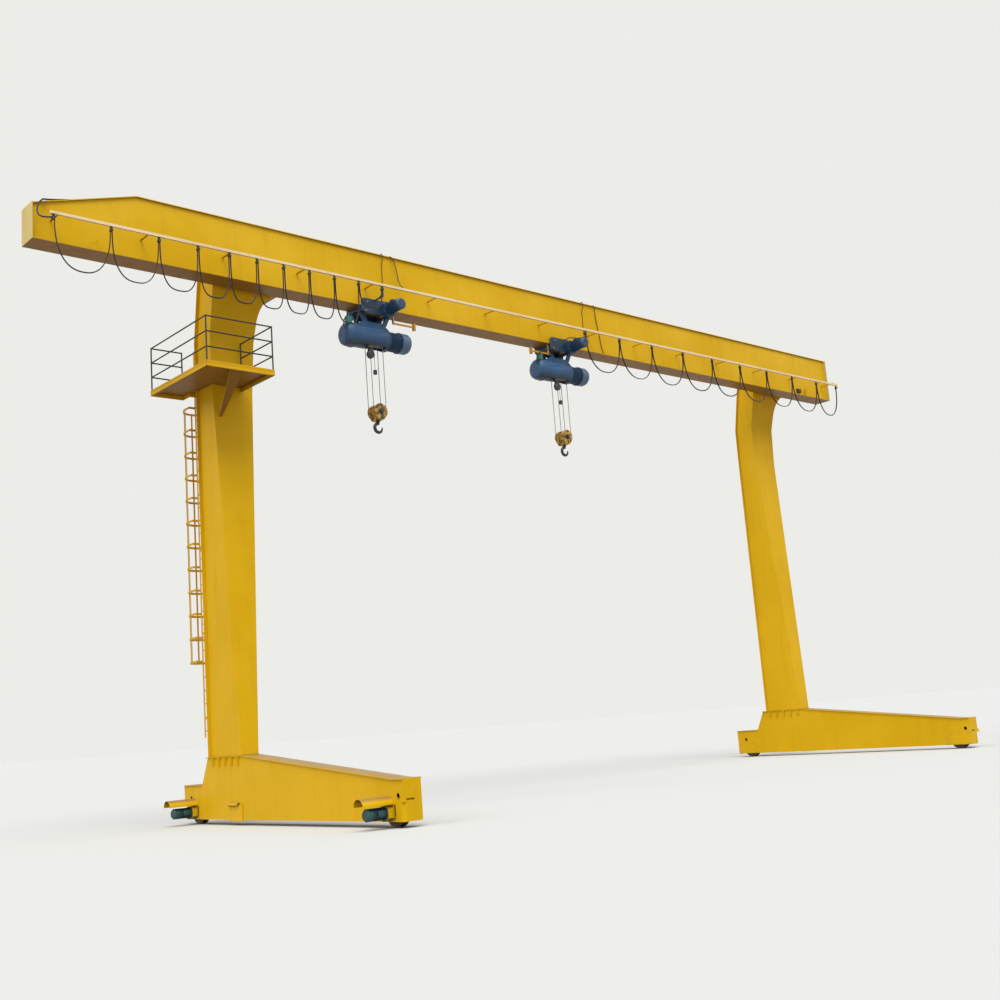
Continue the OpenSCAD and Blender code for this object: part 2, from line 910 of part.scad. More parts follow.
// A carrier: a saddle under the rail, a stem through the slot and a roller on the lips
module carrier(x) {
  translate([x - carrier_w / 2, rail_y - 25, loop_top])
    cube([carrier_w, 50, carrier_h]);
  translate([x - 6, rail_y - 6, carrier_top - 1])
    cube([12, 12, carrier_drop + rail_wall + 15]);
  translate([x, rail_y + 16, rail_z - rail_sec / 2 + rail_wall + 16 + seat])
    rotate([90, 0, 0])
      cylinder(h = 32, r = 16, $fn = 32);
}
module festoon(places, lead_depth) {
  for (x = places)
    carrier(x);
  for (k = [0:len(places) - 2]) {
    a = places[k] + cable_r + 4;
    b = places[k + 1] - cable_r - 4;
    tube(concat(
      [[a, rail_y, loop_top - seat]],
      [for (i = [0:loop_steps])
        loop_point(a, b, i / loop_steps, k == len(places) - 2 ? lead_depth : loop_depth)],
      [[b, rail_y, loop_top - seat]]
    ), cable_r);
  }
}
near_first = 280;
near_gap = 1220;
near_gap_drop = 150;
near_gap_min = 700;
near_count = 11;
near_lead = near_carrier(near_count - 1) - near_x - hoist1_at;
far_lead = 580;
far_gap = 1420;
far_count = 10;
// The shallow loop beside the first hoist
lead_depth = loop_depth / 2;
// Carriers from the tapered end to the first hoist, closing up on the way
function near_carrier(k) = k == 0
  ? x_left + near_first
  : near_carrier(k - 1) + max(near_gap_min, near_gap - near_gap_drop * (k - 1));
// Carriers from the second hoist to the far end
function far_carrier(k) = min(near_x + hoist2_at + far_lead + far_gap * k, rail_to - 60);
module festoon_near() {
  color(cable_black)
    festoon([for (k = [0:near_count - 1]) near_carrier(k)], lead_depth);
}
module festoon_far() {
  color(cable_black)
    festoon([for (k = [0:far_count - 1]) far_carrier(k)], loop_depth);
}
feed_r = 9;
feed_near = hoist1_at + 280;
feed_far = hoist2_at + 1030;
module feed_cables() {
  y = web_front - feed_r - seat;
  edge = girder_y - top_flange_w / 2;
  color(cable_black)
    for (x = [near_x + feed_near, near_x + feed_far])
      tube([
        [x, y, rail_z + 60],
        [x, y, girder_top - 260],
        [x, edge - 24, girder_top - 130],
        [x, edge - 24, girder_top - 14],
        [x, edge - 10, girder_top + 22],
        [x, edge + 22, girder_top + 34],
        [x, edge + 130, girder_top + feed_r + seat],
        [x, girder_y, girder_top + feed_r + seat]
      ], feed_r, [1, 0, 0]);
}

// Hoists: the trolley runs on the bottom flange and the hoist hangs from it
module at_hoist(k) {
  x = k == 1 ? hoist1_at : hoist2_at;
  translate([near_x + x, girder_y, girder_z])
    children();
}
side_gap = 20;
side_t = 16;
side_len = 1000;
side_y = flange_w / 2 + side_gap;
side_up = 190;
side_down = 190;
small_wheel_r = 75;
small_axle_r = 22;
small_axle_x = 330;
small_axle_z = flange_t + small_wheel_r + seat;
tie_r = 30;
tie_z = -125;
tie_x = 380;
end_bar_t = 16;
module side_plate(y) {
  difference() {
    upright_x(y, side_t)
      polygon([
        [-side_len / 2, -side_down + 60],
        [-side_len / 2 + 120, -side_down],
        [side_len / 2 - 120, -side_down],
        [side_len / 2, -side_down + 60],
        [side_len / 2, side_up - 60],
        [side_len / 2 - 80, side_up],
        [-side_len / 2 + 80, side_up],
        [-side_len / 2, side_up - 60]
      ]);
    for (x = [-small_axle_x, small_axle_x])
      translate([x, y - 1, small_axle_z])
        rotate([-90, 0, 0])
          cylinder(h = side_t + 2, r = small_axle_r, $fn = 32);
  }
}
arm_reach = 1150;
arm_y = -230;
arm_z = -300;
post_h = 180;
arm_s = 40;
// Tow arm from the front side plate, with a post up to the festoon's lead carrier
tow_s = 30;
tow_z = 145;
module tow_arm(x, lead, side) {
  out = rail_y - girder_y - tow_s / 2;
  post = side > 0 ? lead : lead - tow_s;
  translate([x, out, tow_z])
    cube([tow_s, -side_y - side_t / 2 - out, tow_s]);
  translate([min(x, post), out, tow_z])
    cube([abs(x - post) + tow_s, tow_s, tow_s]);
  translate([post, out, tow_z])
    cube([tow_s, tow_s, loop_top - girder_z - tow_z - seat]);
}
module trolley_frame(k) {
  side = k == 1 ? 1 : -1;
  color(blue)
    at_hoist(k) {
      side_plate(side_y);
      side_plate(-side_y - side_t);
      for (x = [-tie_x, tie_x])
        translate([x, -side_y, tie_z])
          rotate([-90, 0, 0])
            cylinder(h = 2 * side_y, r = tie_r, $fn = 48);
      for (x = [-side_len / 2, side_len / 2 - end_bar_t])
        translate([x, -side_y, -side_down + 70])
          cube([end_bar_t, 2 * side_y, 100]);
      if (k == 1)
        tow_arm(near_lead, near_lead, 1);
      else
        tow_arm(tie_x + 10, far_lead, -1);
      // Buffer arm towards the other hoist, on a strut from the frame's end
      strut = side > 0 ? side_len / 2 : -side_len / 2 - arm_s;
      translate([strut, arm_y - arm_s / 2, arm_z - arm_s / 2])
        cube([arm_s, arm_s, -side_down + 150 - arm_z + arm_s / 2]);
      translate([side > 0 ? side_len / 2 : -arm_reach, arm_y - arm_s / 2, arm_z - arm_s / 2])
        cube([arm_reach - side_len / 2, arm_s, arm_s]);
      translate([side > 0 ? arm_reach : -arm_reach - 50, arm_y - 45, arm_z - post_h / 2])
        cube([50, 90, post_h]);
    }
}
module trolley_wheels(k) {
  color(dark_steel)
    at_hoist(k)
      for (x = [-small_axle_x, small_axle_x])
        for (side = [-1, 1])
          translate([x, side * side_y, small_axle_z])
            rotate([side * 90, 0, 0])
              rotate_extrude($fn = 64)
                polygon([
                  [0, -side_t - 12],
                  [small_axle_r - fit, -side_t - 12],
                  [small_axle_r - fit, side_gap - 4],
                  [small_wheel_r, side_gap],
                  [small_wheel_r, side_gap + 56],
                  [small_wheel_r - 12, side_gap + 60],
                  [0, side_gap + 60]
                ]);
}
small_motor_r = 140;
small_motor_len = 520;
small_drive_x = 260;
small_drive_z = -40;
small_gear_t = 120;
module travel_drive(k) {
  y = -side_y - side_t - seat - 12;
  color(blue)
    at_hoist(k) {
      translate([0, y - small_gear_t, 0])
        upright_x(0, small_gear_t)
          polygon([
            [small_drive_x - 170, small_drive_z - 100],
            [small_drive_x - 90, small_drive_z - 170],
            [small_drive_x + 90, small_drive_z - 170],
            [small_drive_x + 170, small_drive_z - 90],
            [small_drive_x + 170, small_drive_z + 110],
            [small_drive_x + 110, small_drive_z + 180],
            [small_drive_x - 110, small_drive_z + 180],
            [small_drive_x - 170, small_drive_z + 120]
          ]);
      translate([small_drive_x, y - small_gear_t + 1, small_drive_z])
        rotate([90, 0, 0])
          rotate_extrude($fn = 64)
            polygon([
              [0, 0],
              [small_motor_r + 10, 0],
              [small_motor_r + 10, 20],
              [small_motor_r - 12, 24],
              [small_motor_r - 12, small_motor_len - 120],
              [small_motor_r, small_motor_len - 114],
              [small_motor_r, small_motor_len - 30],
              [small_motor_r - 30, small_motor_len],
              [0, small_motor_len]
            ]);
      // Spacers that hold the gearbox on the side plate
      for (x = [small_drive_x - 130, small_drive_x + 110])
        translate([x - 15, y - 1, small_drive_z - 80])
          cube([30, 13, 30]);
    }
}

// The hoist body along its axis: gearbox, drum housing, motor, brake cover
drum_x = -590;
gearbox_x = drum_x - gearbox_len;
motor_x = drum_x + drum_len;
housing_t = 12;
winding_r = 190;
saddle_half = 200;
saddle_top = -360;
saddle_low = -480;
saddle_slope = 200;
lug_half = 60;
lug_lean = 120;
belly_half = sheave_gap / 2 + 60;
block_x = 40;
fall_x = sheave_r + rope_r;
module round_x(x, len, r) {
  translate([x, 0, -drum_drop])
    rotate([0, 90, 0])
      cylinder(h = len, r = r, $fn = 64);
}
// Drum housing: a shell round the drum, open below for the ropes, with a saddle and lugs
module drum_housing(k) {
  color(blue)
    at_hoist(k) {
      difference() {
        union() {
          round_x(drum_x + seat, drum_len - 2 * seat, drum_r);
          upright_x(-saddle_half, 2 * saddle_half)
            polygon([
              [drum_x + seat, -drum_drop],
              [drum_x + drum_len - seat, -drum_drop],
              [drum_x + drum_len - seat, saddle_low],
              [drum_x + drum_len - saddle_slope, saddle_top],
              [drum_x + saddle_slope, saddle_top],
              [drum_x + seat, saddle_low]
            ]);
        }
        round_x(drum_x + 30, drum_len - 60, drum_r - housing_t);
        translate([block_x - fall_x - 70, -belly_half, -drum_drop - drum_r - 10])
          cube([2 * fall_x + 140, 2 * belly_half, drum_r / 2]);
      }
      round_x(drum_x + 20, drum_len - 40, winding_r);
      for (side = [-1, 1])
        for (y = [-saddle_half + 10, saddle_half - 70])
          difference() {
            upright_x(y, 60)
              polygon([
                [side * (tie_x - lug_half), tie_z + lug_half],
                [side * (tie_x + lug_half), tie_z + lug_half],
                [side * (tie_x + lug_half), tie_z - lug_half],
                [side * (tie_x + lug_half - lug_lean), saddle_top - 60],
                [side * (tie_x - lug_half - lug_lean), saddle_top - 60],
                [side * (tie_x - lug_half), tie_z - lug_half]
              ]);
            translate([side * tie_x, y - 1, tie_z])
              rotate([-90, 0, 0])
                cylinder(h = 62, r = tie_r + seat, $fn = 48);
          }
    }
}
module lift_gearbox(k) {
  color(blue)
    at_hoist(k)
      translate([gearbox_x, 0, -drum_drop])
        rotate([0, 90, 0])
          rotate_extrude($fn = 72)
            polygon([
              [0, 0],
              [150, 0],
              [230, 25],
              [275, 70],
              [295, 140],
              [295, gearbox_len - 60],
              [305, gearbox_len - 55],
              [305, gearbox_len],
              [0, gearbox_len]
            ]);
}
// Lift motor: end flange, ribbed body and the smooth brake cover with a domed end
rib_count = 16;
rib_r = 245;
rib_root = 222;
module lift_motor(k) {
  pitch = (motor_len - 60) / rib_count;
  color(blue)
    at_hoist(k)
      translate([motor_x, 0, -drum_drop])
        rotate([0, 90, 0])
          rotate_extrude($fn = 72)
            polygon(concat(
              [[0, 0], [285, 0], [285, 30]],
              [for (i = [0:rib_count - 1])
                for (q = [0:3])
                  [q == 0 || q == 3 ? rib_root : rib_r, 30 + pitch * (i + [0.2, 0.3, 0.7, 0.8][q])]],
              [[rib_root, motor_len - 30], [270, motor_len - 26], [270, motor_len]],
              [[262, motor_len + 4], [262, motor_len + brake_len - 110]],
              [[235, motor_len + brake_len - 50], [170, motor_len + brake_len - 10]],
              [[120, motor_len + brake_len], [0, motor_len + brake_len]]
            ));
}
// Rope guide under the housing, with the rope's dead end
guide_drop = 190;
guide_w = 90;
guide_r = 100;
guide_half = 65;
module rope_guide(k) {
  y = -sheave_gap / 2;
  top = -drum_drop - sqrt(pow(drum_r, 2) - pow(abs(y) - guide_w / 2, 2)) - seat;
  color(dark_steel)
    at_hoist(k) {
      translate([block_x - fall_x, y, top - guide_drop])
        rotate([90, 0, 0])
          rotate_extrude($fn = 64)
            polygon([
              [0, -guide_half],
              [guide_r - 30, -guide_half],
              [guide_r, 25 - guide_half],
              [guide_r, guide_half - 25],
              [guide_r - 30, guide_half],
              [0, guide_half]
            ]);
      upright_x(y - guide_w / 2, guide_w) {
        polygon([
          [block_x - fall_x - guide_r + 20, top - guide_drop],
          [block_x - fall_x + guide_r - 20, top - guide_drop],
          [block_x - fall_x + 45, top - 30],
          [block_x - fall_x - 45, top - 30]
        ]);
        translate([block_x - fall_x - 110, top - 35])
          square([35, 35]);
        translate([block_x - fall_x - 110, top - 35])
          square([170, 12]);
      }
    }
}
weight_z = -1640;
weight_line_r = 5;
module limit_weight(k) {
  top = -drum_drop - drum_r - seat;
  color(dark_steel)
    at_hoist(k) {
      translate([block_x - 35, -35, weight_z])
        cube([70, 70, 110]);
      translate([block_x, 0, weight_z + 100])
        cylinder(h = top + drum_r - winding_r - weight_z - 100, r = weight_line_r, $fn = 24);
    }
}
module ropes(k) {
  dead = -drum_drop - sqrt(pow(drum_r, 2) - pow(sheave_gap / 2 - guide_w / 2, 2)) - seat - guide_drop - guide_r;
  live = -drum_drop - sqrt(pow(winding_r, 2) - pow(sheave_gap / 2 - rope_r, 2)) - seat;
  color(dark_steel)
    at_hoist(k)
      for (sx = [-1, 1])
        for (sy = [-1, 1])
          translate([block_x + sx * fall_x, sy * sheave_gap / 2, -block_drop])
            cylinder(h = (sx + sy == -2 ? dead - seat : live) + block_drop, r = rope_r, $fn = 24);
}
// Hook block: guards round two sheaves, a crosshead between them that carries the hook
guard_r = 195;
guard_w = 90;
guard_t = 6;
cross_top = -110;
cross_low = -215;
shank_r = 34;
module hook_block(k) {
  color(brass)
    at_hoist(k)
      translate([block_x, 0, -block_drop]) {
        for (side = [-1, 1])
          translate([0, side * sheave_gap / 2, 0])
            difference() {
              upright_x(-guard_w / 2, guard_w) {
                circle(r = guard_r, $fn = 64);
                polygon([
                  [-150, -120],
                  [150, -120],
                  [70, cross_low],
                  [-70, cross_low]
                ]);
              }
              upright_x(-guard_w / 2 + guard_t, guard_w - 2 * guard_t)
                difference() {
                  circle(r = guard_r - guard_t, $fn = 64);
                  circle(r = sheave_r - seat, $fn = 64);
                }
              for (x = [seat - sheave_r - 60, sheave_r - seat])
                translate([x, -guard_w / 2 + guard_t, -40])
                  cube([60, guard_w - 2 * guard_t, 300]);
            }
        rotate([90, 0, 0])
          translate([0, 0, -sheave_gap / 2 - 80])
            cylinder(h = sheave_gap + 160, r = 32, $fn = 48);
        difference() {
          translate([-80, -sheave_gap / 2 + guard_w / 2 - 1, cross_low])
            cube([160, sheave_gap - guard_w + 2, cross_top - cross_low]);
          translate([0, 0, cross_low - 1])
            cylinder(h = cross_top - cross_low + 2, r = shank_r + fit, $fn = 64);
        }
      }
}
// Hook: a shank and nut in the crosshead, and a bowl that thickens at its back
hook_in = 70;
hook_bar = 41;
hook_steps = 20;
hook_from = 80;
hook_sweep = 292;
hook_drop = 400;
function hook_mid(a) = [
  (hook_in + hook_bar) * cos(a),
  0,
  (hook_in + hook_bar) * sin(a) - hook_drop
];
function hook_thick(a) = hook_bar * (1 - 0.66 * pow(max(0, (a - 240) / 132), 1.6) - max(0, (96 - a) / 100));
module hook(k) {
  color(dark_steel)
    at_hoist(k)
      translate([block_x, 0, -block_drop]) {
        translate([0, 0, -hook_drop + hook_in + hook_bar - 10])
          cylinder(h = cross_top + 10 + hook_drop - hook_in - hook_bar + 8, r = shank_r, $fn = 64);
        translate([0, 0, cross_low - 32])
          cylinder(h = 32 - seat, r = 52, $fn = 64);
        translate([0, 0, cross_top + seat])
          cylinder(h = 26, r = 52, $fn = 64);
        // The bowl's faceted sweep runs from the shank, down the back and up to the tip
        hook_bowl();
      }
}
module hook_bowl() {
  n = hook_steps + 1;
  m = 16;
  points = [
    for (i = [0:hook_steps])
      let (a = hook_from + hook_sweep * i / hook_steps, c = hook_mid(a), r = hook_thick(a))
        for (j = [0:m - 1])
          c + r * cos(360 * j / m) * [cos(a), 0, sin(a)] + r * sin(360 * j / m) * [0, 1, 0]
  ];
  polyhedron(points, concat(
    [[for (j = [0:m - 1]) j]],
    [[for (j = [m - 1:-1:0]) (n - 1) * m + j]],
    [for (i = [0:n - 2])
      for (j = [0:m - 1])
        [i * m + j, (i + 1) * m + j, (i + 1) * m + (j + 1) % m, i * m + (j + 1) % m]]
  ));
}
module trolley_frame_1() {
  trolley_frame(1);
}
module trolley_wheels_1() {
  trolley_wheels(1);
}
module travel_drive_1() {
  travel_drive(1);
}
module drum_housing_1() {
  drum_housing(1);
}
module lift_gearbox_1() {
  lift_gearbox(1);
}
module lift_motor_1() {
  lift_motor(1);
}
module rope_guide_1() {
  rope_guide(1);
}
module limit_weight_1() {
  limit_weight(1);
}
module ropes_1() {
  ropes(1);
}
module hook_block_1() {
  hook_block(1);
}
module hook_1() {
  hook(1);
}
module trolley_frame_2() {
  trolley_frame(2);
}
module trolley_wheels_2() {
  trolley_wheels(2);
}
module travel_drive_2() {
  travel_drive(2);
}
module drum_housing_2() {
  drum_housing(2);
}
module lift_gearbox_2() {
  lift_gearbox(2);
}
module lift_motor_2() {
  lift_motor(2);
}
module rope_guide_2() {
  rope_guide(2);
}
module limit_weight_2() {
  limit_weight(2);
}
module ropes_2() {
  ropes(2);
}
module hook_block_2() {
  hook_block(2);
}
module hook_2() {
  hook(2);
}

girder_bottom_flange();
girder_top_flange();
girder_front_web();
girder_rear_web();
girder_end_plates();
trolley_end_stops();
near_column();
far_column();
column_feet();
near_ground_beam();
far_ground_beam();
near_beam_top_plate();
far_beam_top_plate();
axle_boxes();
wheel_covers();
travel_gearboxes();
travel_motors();
motor_hoods();
jacking_brackets();
near_front_wheel();
near_rear_wheel();
far_front_wheel();
far_rear_wheel();
platform_floor();
railing_left();
railing_front();
railing_right();
railing_rear();
ladder();
ladder_cage();
cage_straps();
festoon_rail();
festoon_brackets();
festoon_near();
festoon_far();
feed_cables();
trolley_frame_1();
trolley_wheels_1();
travel_drive_1();
drum_housing_1();
lift_gearbox_1();
lift_motor_1();
rope_guide_1();
limit_weight_1();
ropes_1();
hook_block_1();
hook_1();
trolley_frame_2();
trolley_wheels_2();
travel_drive_2();
drum_housing_2();
lift_gearbox_2();
lift_motor_2();
rope_guide_2();
limit_weight_2();
ropes_2();
hook_block_2();
hook_2();
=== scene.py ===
import math

import bmesh
import bpy
from mathutils import Matrix, Vector


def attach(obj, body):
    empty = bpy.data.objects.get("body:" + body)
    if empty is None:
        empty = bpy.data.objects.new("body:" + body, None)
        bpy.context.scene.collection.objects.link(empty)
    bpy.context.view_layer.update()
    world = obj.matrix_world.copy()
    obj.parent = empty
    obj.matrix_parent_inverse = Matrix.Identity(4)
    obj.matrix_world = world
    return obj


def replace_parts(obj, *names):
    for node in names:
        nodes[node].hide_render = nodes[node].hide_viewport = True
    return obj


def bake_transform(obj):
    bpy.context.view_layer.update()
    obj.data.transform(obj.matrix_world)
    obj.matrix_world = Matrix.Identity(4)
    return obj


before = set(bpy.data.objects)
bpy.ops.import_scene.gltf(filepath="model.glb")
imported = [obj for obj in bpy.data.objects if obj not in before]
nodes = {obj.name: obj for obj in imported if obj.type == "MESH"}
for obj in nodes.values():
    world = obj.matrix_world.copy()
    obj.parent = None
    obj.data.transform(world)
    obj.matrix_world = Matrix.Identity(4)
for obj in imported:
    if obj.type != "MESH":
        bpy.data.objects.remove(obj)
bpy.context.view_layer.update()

# Camera: a low view past the near leg, as a visitor in the yard would see the crane.
# Its three axes are the image's right and up directions and the way out of the picture.
right = Vector((0.7506, -0.6566, -0.0754))
up = Vector((-0.0637, -0.1855, 0.9806))
back = right.cross(up)
camera_place = (-22.95, -22.23, 1.685)
sensor_width, focal_share = 36.0, 1.218
camera_data = bpy.data.cameras.new("yard_camera")
camera_data.sensor_fit = "HORIZONTAL"
camera_data.sensor_width = sensor_width
camera_data.lens = sensor_width * focal_share
camera_data.clip_start = 0.1
camera_data.clip_end = 6000.0
camera = bpy.data.objects.new("yard_camera", camera_data)
bpy.context.scene.collection.objects.link(camera)
axes = Matrix((right, up, back)).transposed().to_4x4()
camera.matrix_world = Matrix.Translation(camera_place) @ axes
bpy.context.scene.camera = camera


# Studio: a pale floor that runs out to a pale background of nearly the same tone.
# Three wide suns stand for a bright overcast sky, and the world fills the shadows.
# Light that leaves the floor comes back as from trodden ground, so undersides stay dark.
def linear(code):
    """Turn an sRGB hex colour to linear RGBA."""
    channels = [int(code[i:i + 2], 16) / 255 for i in (0, 2, 4)]
    return [c / 12.92 if c <= 0.04045 else ((c + 0.055) / 1.055) ** 2.4 for c in channels] + [1.0]


def add(tree, kind, settings=None, links=None):
    """Add a node, set its properties or inputs, and link its inputs to other nodes' outputs."""
    node = tree.nodes.new(kind)
    for key, value in (settings or {}).items():
        if isinstance(key, str) and hasattr(node, key):
            setattr(node, key, value)
        else:
            node.inputs[key].default_value = value
    for key, (source, output) in (links or {}).items():
        tree.links.new(source.outputs[output], node.inputs[key])
    return node


def seen_mask(tree):
    """1 for what the camera sees, straight or in a reflection or through glass, and 0 for all other light."""
    ray = add(tree, "ShaderNodeLightPath")
    shown = add(tree, "ShaderNodeMath", {"operation": "MAXIMUM"},
                {0: (ray, "Is Camera Ray"), 1: (ray, "Is Glossy Ray")})
    return add(tree, "ShaderNodeMath", {"operation": "MAXIMUM"}, {0: (shown, 0), 1: (ray, "Is Transmission Ray")})


world = bpy.data.worlds.new("open_sky")
bpy.context.scene.world = world
world.use_nodes = True
sky = world.node_tree
sky.nodes.clear()
fill = add(sky, "ShaderNodeBackground", {"Color": linear("ECE9E4"), "Strength": 0.62})
plain = add(sky, "ShaderNodeBackground", {"Color": linear("ECECE8"), "Strength": 1.0})
mix = add(sky, "ShaderNodeMixShader", None, {0: (seen_mask(sky), 0), 1: (fill, 0), 2: (plain, 0)})
add(sky, "ShaderNodeOutputWorld", None, {"Surface": (mix, 0)})

floor_reach = 2400.0
floor_mesh = bmesh.new()
bmesh.ops.create_grid(floor_mesh, x_segments=1, y_segments=1, size=floor_reach)
floor_data = bpy.data.meshes.new("studio_floor")
floor_mesh.to_mesh(floor_data)
floor_mesh.free()
floor = bpy.data.objects.new("studio_floor", floor_data)
bpy.context.scene.collection.objects.link(floor)
# A matt floor, pale where it is seen and darker and warmer in the light that it throws back
floor_paint = bpy.data.materials.new("pale_floor")
floor_paint.use_nodes = True
tree = floor_paint.node_tree
shader = tree.nodes["Principled BSDF"]
ground = add(tree, "ShaderNodeMix", {"data_type": "RGBA", 6: linear("A49A90"), 7: linear("BEC2C5")},
             {0: (seen_mask(tree), 0)})
tree.links.new(ground.outputs[2], shader.inputs["Base Color"])
shader.inputs["Roughness"].default_value = 0.9
shader.inputs["Specular IOR Level"].default_value = 0.1
floor_data.materials.append(floor_paint)

# Each sun: the place it shines from, how wide it is in degrees, its tint and its strength
suns = {
    "key_sun": ((-16, -28, 56), 40, "FFFAF2", 3.05),
    "west_sun": ((-46, 8, 30), 40, "FFF8EE", 1.15),
    "east_sun": ((34, -30, 50), 60, "F4F6FA", 0.45),
}
for name, (place, width, tint, power) in suns.items():
    lamp = bpy.data.lights.new(name, "SUN")
    lamp.angle = math.radians(width)
    lamp.energy = power
    lamp.color = linear(tint)[:3]
    holder = bpy.data.objects.new(name, lamp)
    bpy.context.scene.collection.objects.link(holder)
    aim = (-Vector(place)).to_track_quat("-Z", "Y").to_matrix().to_4x4()
    holder.matrix_world = Matrix.Translation(place) @ aim
bpy.context.scene.view_settings.view_transform = "Standard"


# Girder: two tall webs between flanges of rolled steel plate, closed by a plate at each end.
# Two long machine-laid beads run along each web, and flush seams show where its plates were joined.
# The trolleys' end stops and the cable rail's brackets are welded on and painted with it.
def coat(name, colour, pale_colour, dirt_colour, streak=(5.0, 5.0, 0.5), rough=0.42, grain=14.0, dirt=0.35,
         under=None, over=None, shine=0.5):
    """Sprayed enamel: bleached patches, rain streaks, painted shade on faces that look down, dust with painted light on
    faces that look up, and a faint orange-peel surface.
    """
    material = bpy.data.materials.new(name)
    material.use_nodes = True
    tree = material.node_tree
    shader = tree.nodes["Principled BSDF"]
    place = add(tree, "ShaderNodeTexCoord")
    broad = add(tree, "ShaderNodeTexNoise", {"Scale": 0.35, "Detail": 4.0, "Roughness": 0.6},
                {"Vector": (place, "Object")})
    stretch = add(tree, "ShaderNodeMapping", {"Scale": streak}, {"Vector": (place, "Object")})
    runs = add(tree, "ShaderNodeTexNoise", {"Scale": 1.0, "Detail": 5.0, "Roughness": 0.65}, {"Vector": (stretch, 0)})
    patch = add(tree, "ShaderNodeMapRange", {1: 0.38, 2: 0.68, 3: 0.0, 4: 1.0}, {0: (broad, "Fac")})
    body = add(tree, "ShaderNodeMix", {"data_type": "RGBA", 6: linear(colour), 7: linear(pale_colour)},
               {0: (patch, 0)})
    stain = add(tree, "ShaderNodeMapRange", {1: 0.52, 2: 0.85, 3: 0.0, 4: dirt}, {0: (runs, "Fac")})
    paint = add(tree, "ShaderNodeMix", {"data_type": "RGBA", 7: linear(dirt_colour)}, {0: (stain, 0), 6: (body, 2)})
    facing = add(tree, "ShaderNodeSeparateXYZ", None, {0: (place, "Normal")})
    # under paints shade on faces that look down; over lays dust on faces that look up and also paints how brightly they
    # are lit
    for shade_and_dust_colour, low, high in ((under, -0.35, -0.8), (over, 0.45, 0.8)):
        if shade_and_dust_colour:
            side = add(tree, "ShaderNodeMapRange", {1: low, 2: high, 3: 0.0, 4: 0.85}, {0: (facing, "Z")})
            paint = add(tree, "ShaderNodeMix", {"data_type": "RGBA", 7: linear(shade_and_dust_colour)}, {0: (side, 0), 6: (paint, 2)})
    tree.links.new(paint.outputs[2], shader.inputs["Base Color"])
    shader.inputs["Specular IOR Level"].default_value = shine
    gloss = add(tree, "ShaderNodeMapRange", {1: 0.3, 2: 0.7, 3: rough - 0.08, 4: rough + 0.12}, {0: (runs, "Fac")})
    tree.links.new(gloss.outputs[0], shader.inputs["Roughness"])
    peel = add(tree, "ShaderNodeTexNoise", {"Scale": grain, "Detail": 3.0}, {"Vector": (place, "Object")})
    relief = add(tree, "ShaderNodeBump", {"Strength": 0.12, "Distance": 0.01}, {"Height": (peel, "Fac")})
    tree.links.new(relief.outputs[0], shader.inputs["Normal"])
    return material


def finish_nodes(names, material):
    """Give CAD nodes their finish."""
    for name in names:
        slots = nodes[name].data.materials
        slots.clear()
        slots.append(material)


def block(mesh, low, high, bevel=0.0):
    """A rectangular block between two corners, its edges broken by a small bevel."""
    low, high = Vector(low), Vector(high)
    place = Matrix.Translation((low + high) / 2) @ Matrix.Diagonal((*(high - low), 1.0))
    made = bmesh.ops.create_cube(mesh, size=1.0, matrix=place)
    if bevel:
        edges = list(dict.fromkeys(edge for vert in made["verts"] for edge in vert.link_edges))
        bmesh.ops.bevel(mesh, geom=edges, offset=bevel, offset_type="OFFSET", segments=1, profile=0.5,
                        affect="EDGES", material=-1)


def settle(name, mesh, material, body="gantry"):
    """Turn a finished bmesh into an object that rides with a body, with soft shading over shallow edges."""
    bmesh.ops.remove_doubles(mesh, verts=mesh.verts, dist=0.00002)
    bmesh.ops.recalc_face_normals(mesh, faces=mesh.faces)
    data = bpy.data.meshes.new(name)
    mesh.to_mesh(data)
    mesh.free()
    data.materials.append(material)
    data.shade_smooth()
    data.set_sharp_from_angle(angle=math.radians(35))
    piece = bpy.data.objects.new(name, data)
    bpy.context.scene.collection.objects.link(piece)
    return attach(piece, body) if body else piece


# Yellow alkyd enamel, sprayed: bleached and streaked by rain, so the long web isn't one even tone
# Its under colour is painted shade on faces that look down, and its darker over colour is dust that also paints shade
# on the tops.
girder_enamel = coat("girder_enamel", "CEA60A", "DAB426", "A07A2A", dirt=0.30, under="6A4628", over="8E7648",
                     shine=0.12)
finish_nodes(["girder_bottom_flange", "girder_top_flange", "girder_front_web", "girder_rear_web", "trolley_end_stops",
              "festoon_brackets"], girder_enamel)
# The same enamel, paler: the end plates take the low sun all day and are sun-bleached, and part of the paleness is a
# painted highlight of the bright sky
bleached_and_lit_enamel = coat("bleached_and_lit_enamel", "C6B672", "D2C48C", "A0895A", dirt=0.30, under="6A4628", over="8E7648",
                     shine=0.12)
finish_nodes(["girder_end_plates"], bleached_and_lit_enamel)

web_front, web_back, girder_end, taper_x = 1.195, 1.585, 14.13, -11.84
web_low, web_high, bead = 12.13, 13.57, 0.007
seam, seam_low, seam_high = 0.008, 12.14, 13.56
mesh = bmesh.new()
for y in (web_front, web_back):
    block(mesh, (-girder_end, y - bead, web_low), (girder_end, y + bead, web_low + bead), 0.003)
    block(mesh, (taper_x, y - bead, web_high - bead), (girder_end, y + bead, web_high), 0.003)
for x in (-8.35, -2.45, 3.55, 9.55):
    block(mesh, (x - seam, web_front - 0.0015, seam_low), (x + seam, web_front + 0.0005, seam_high))
    block(mesh, (x - seam, web_back - 0.0005, seam_low), (x + seam, web_back + 0.0015, seam_high))
settle("girder_weld_beads", mesh, girder_enamel)

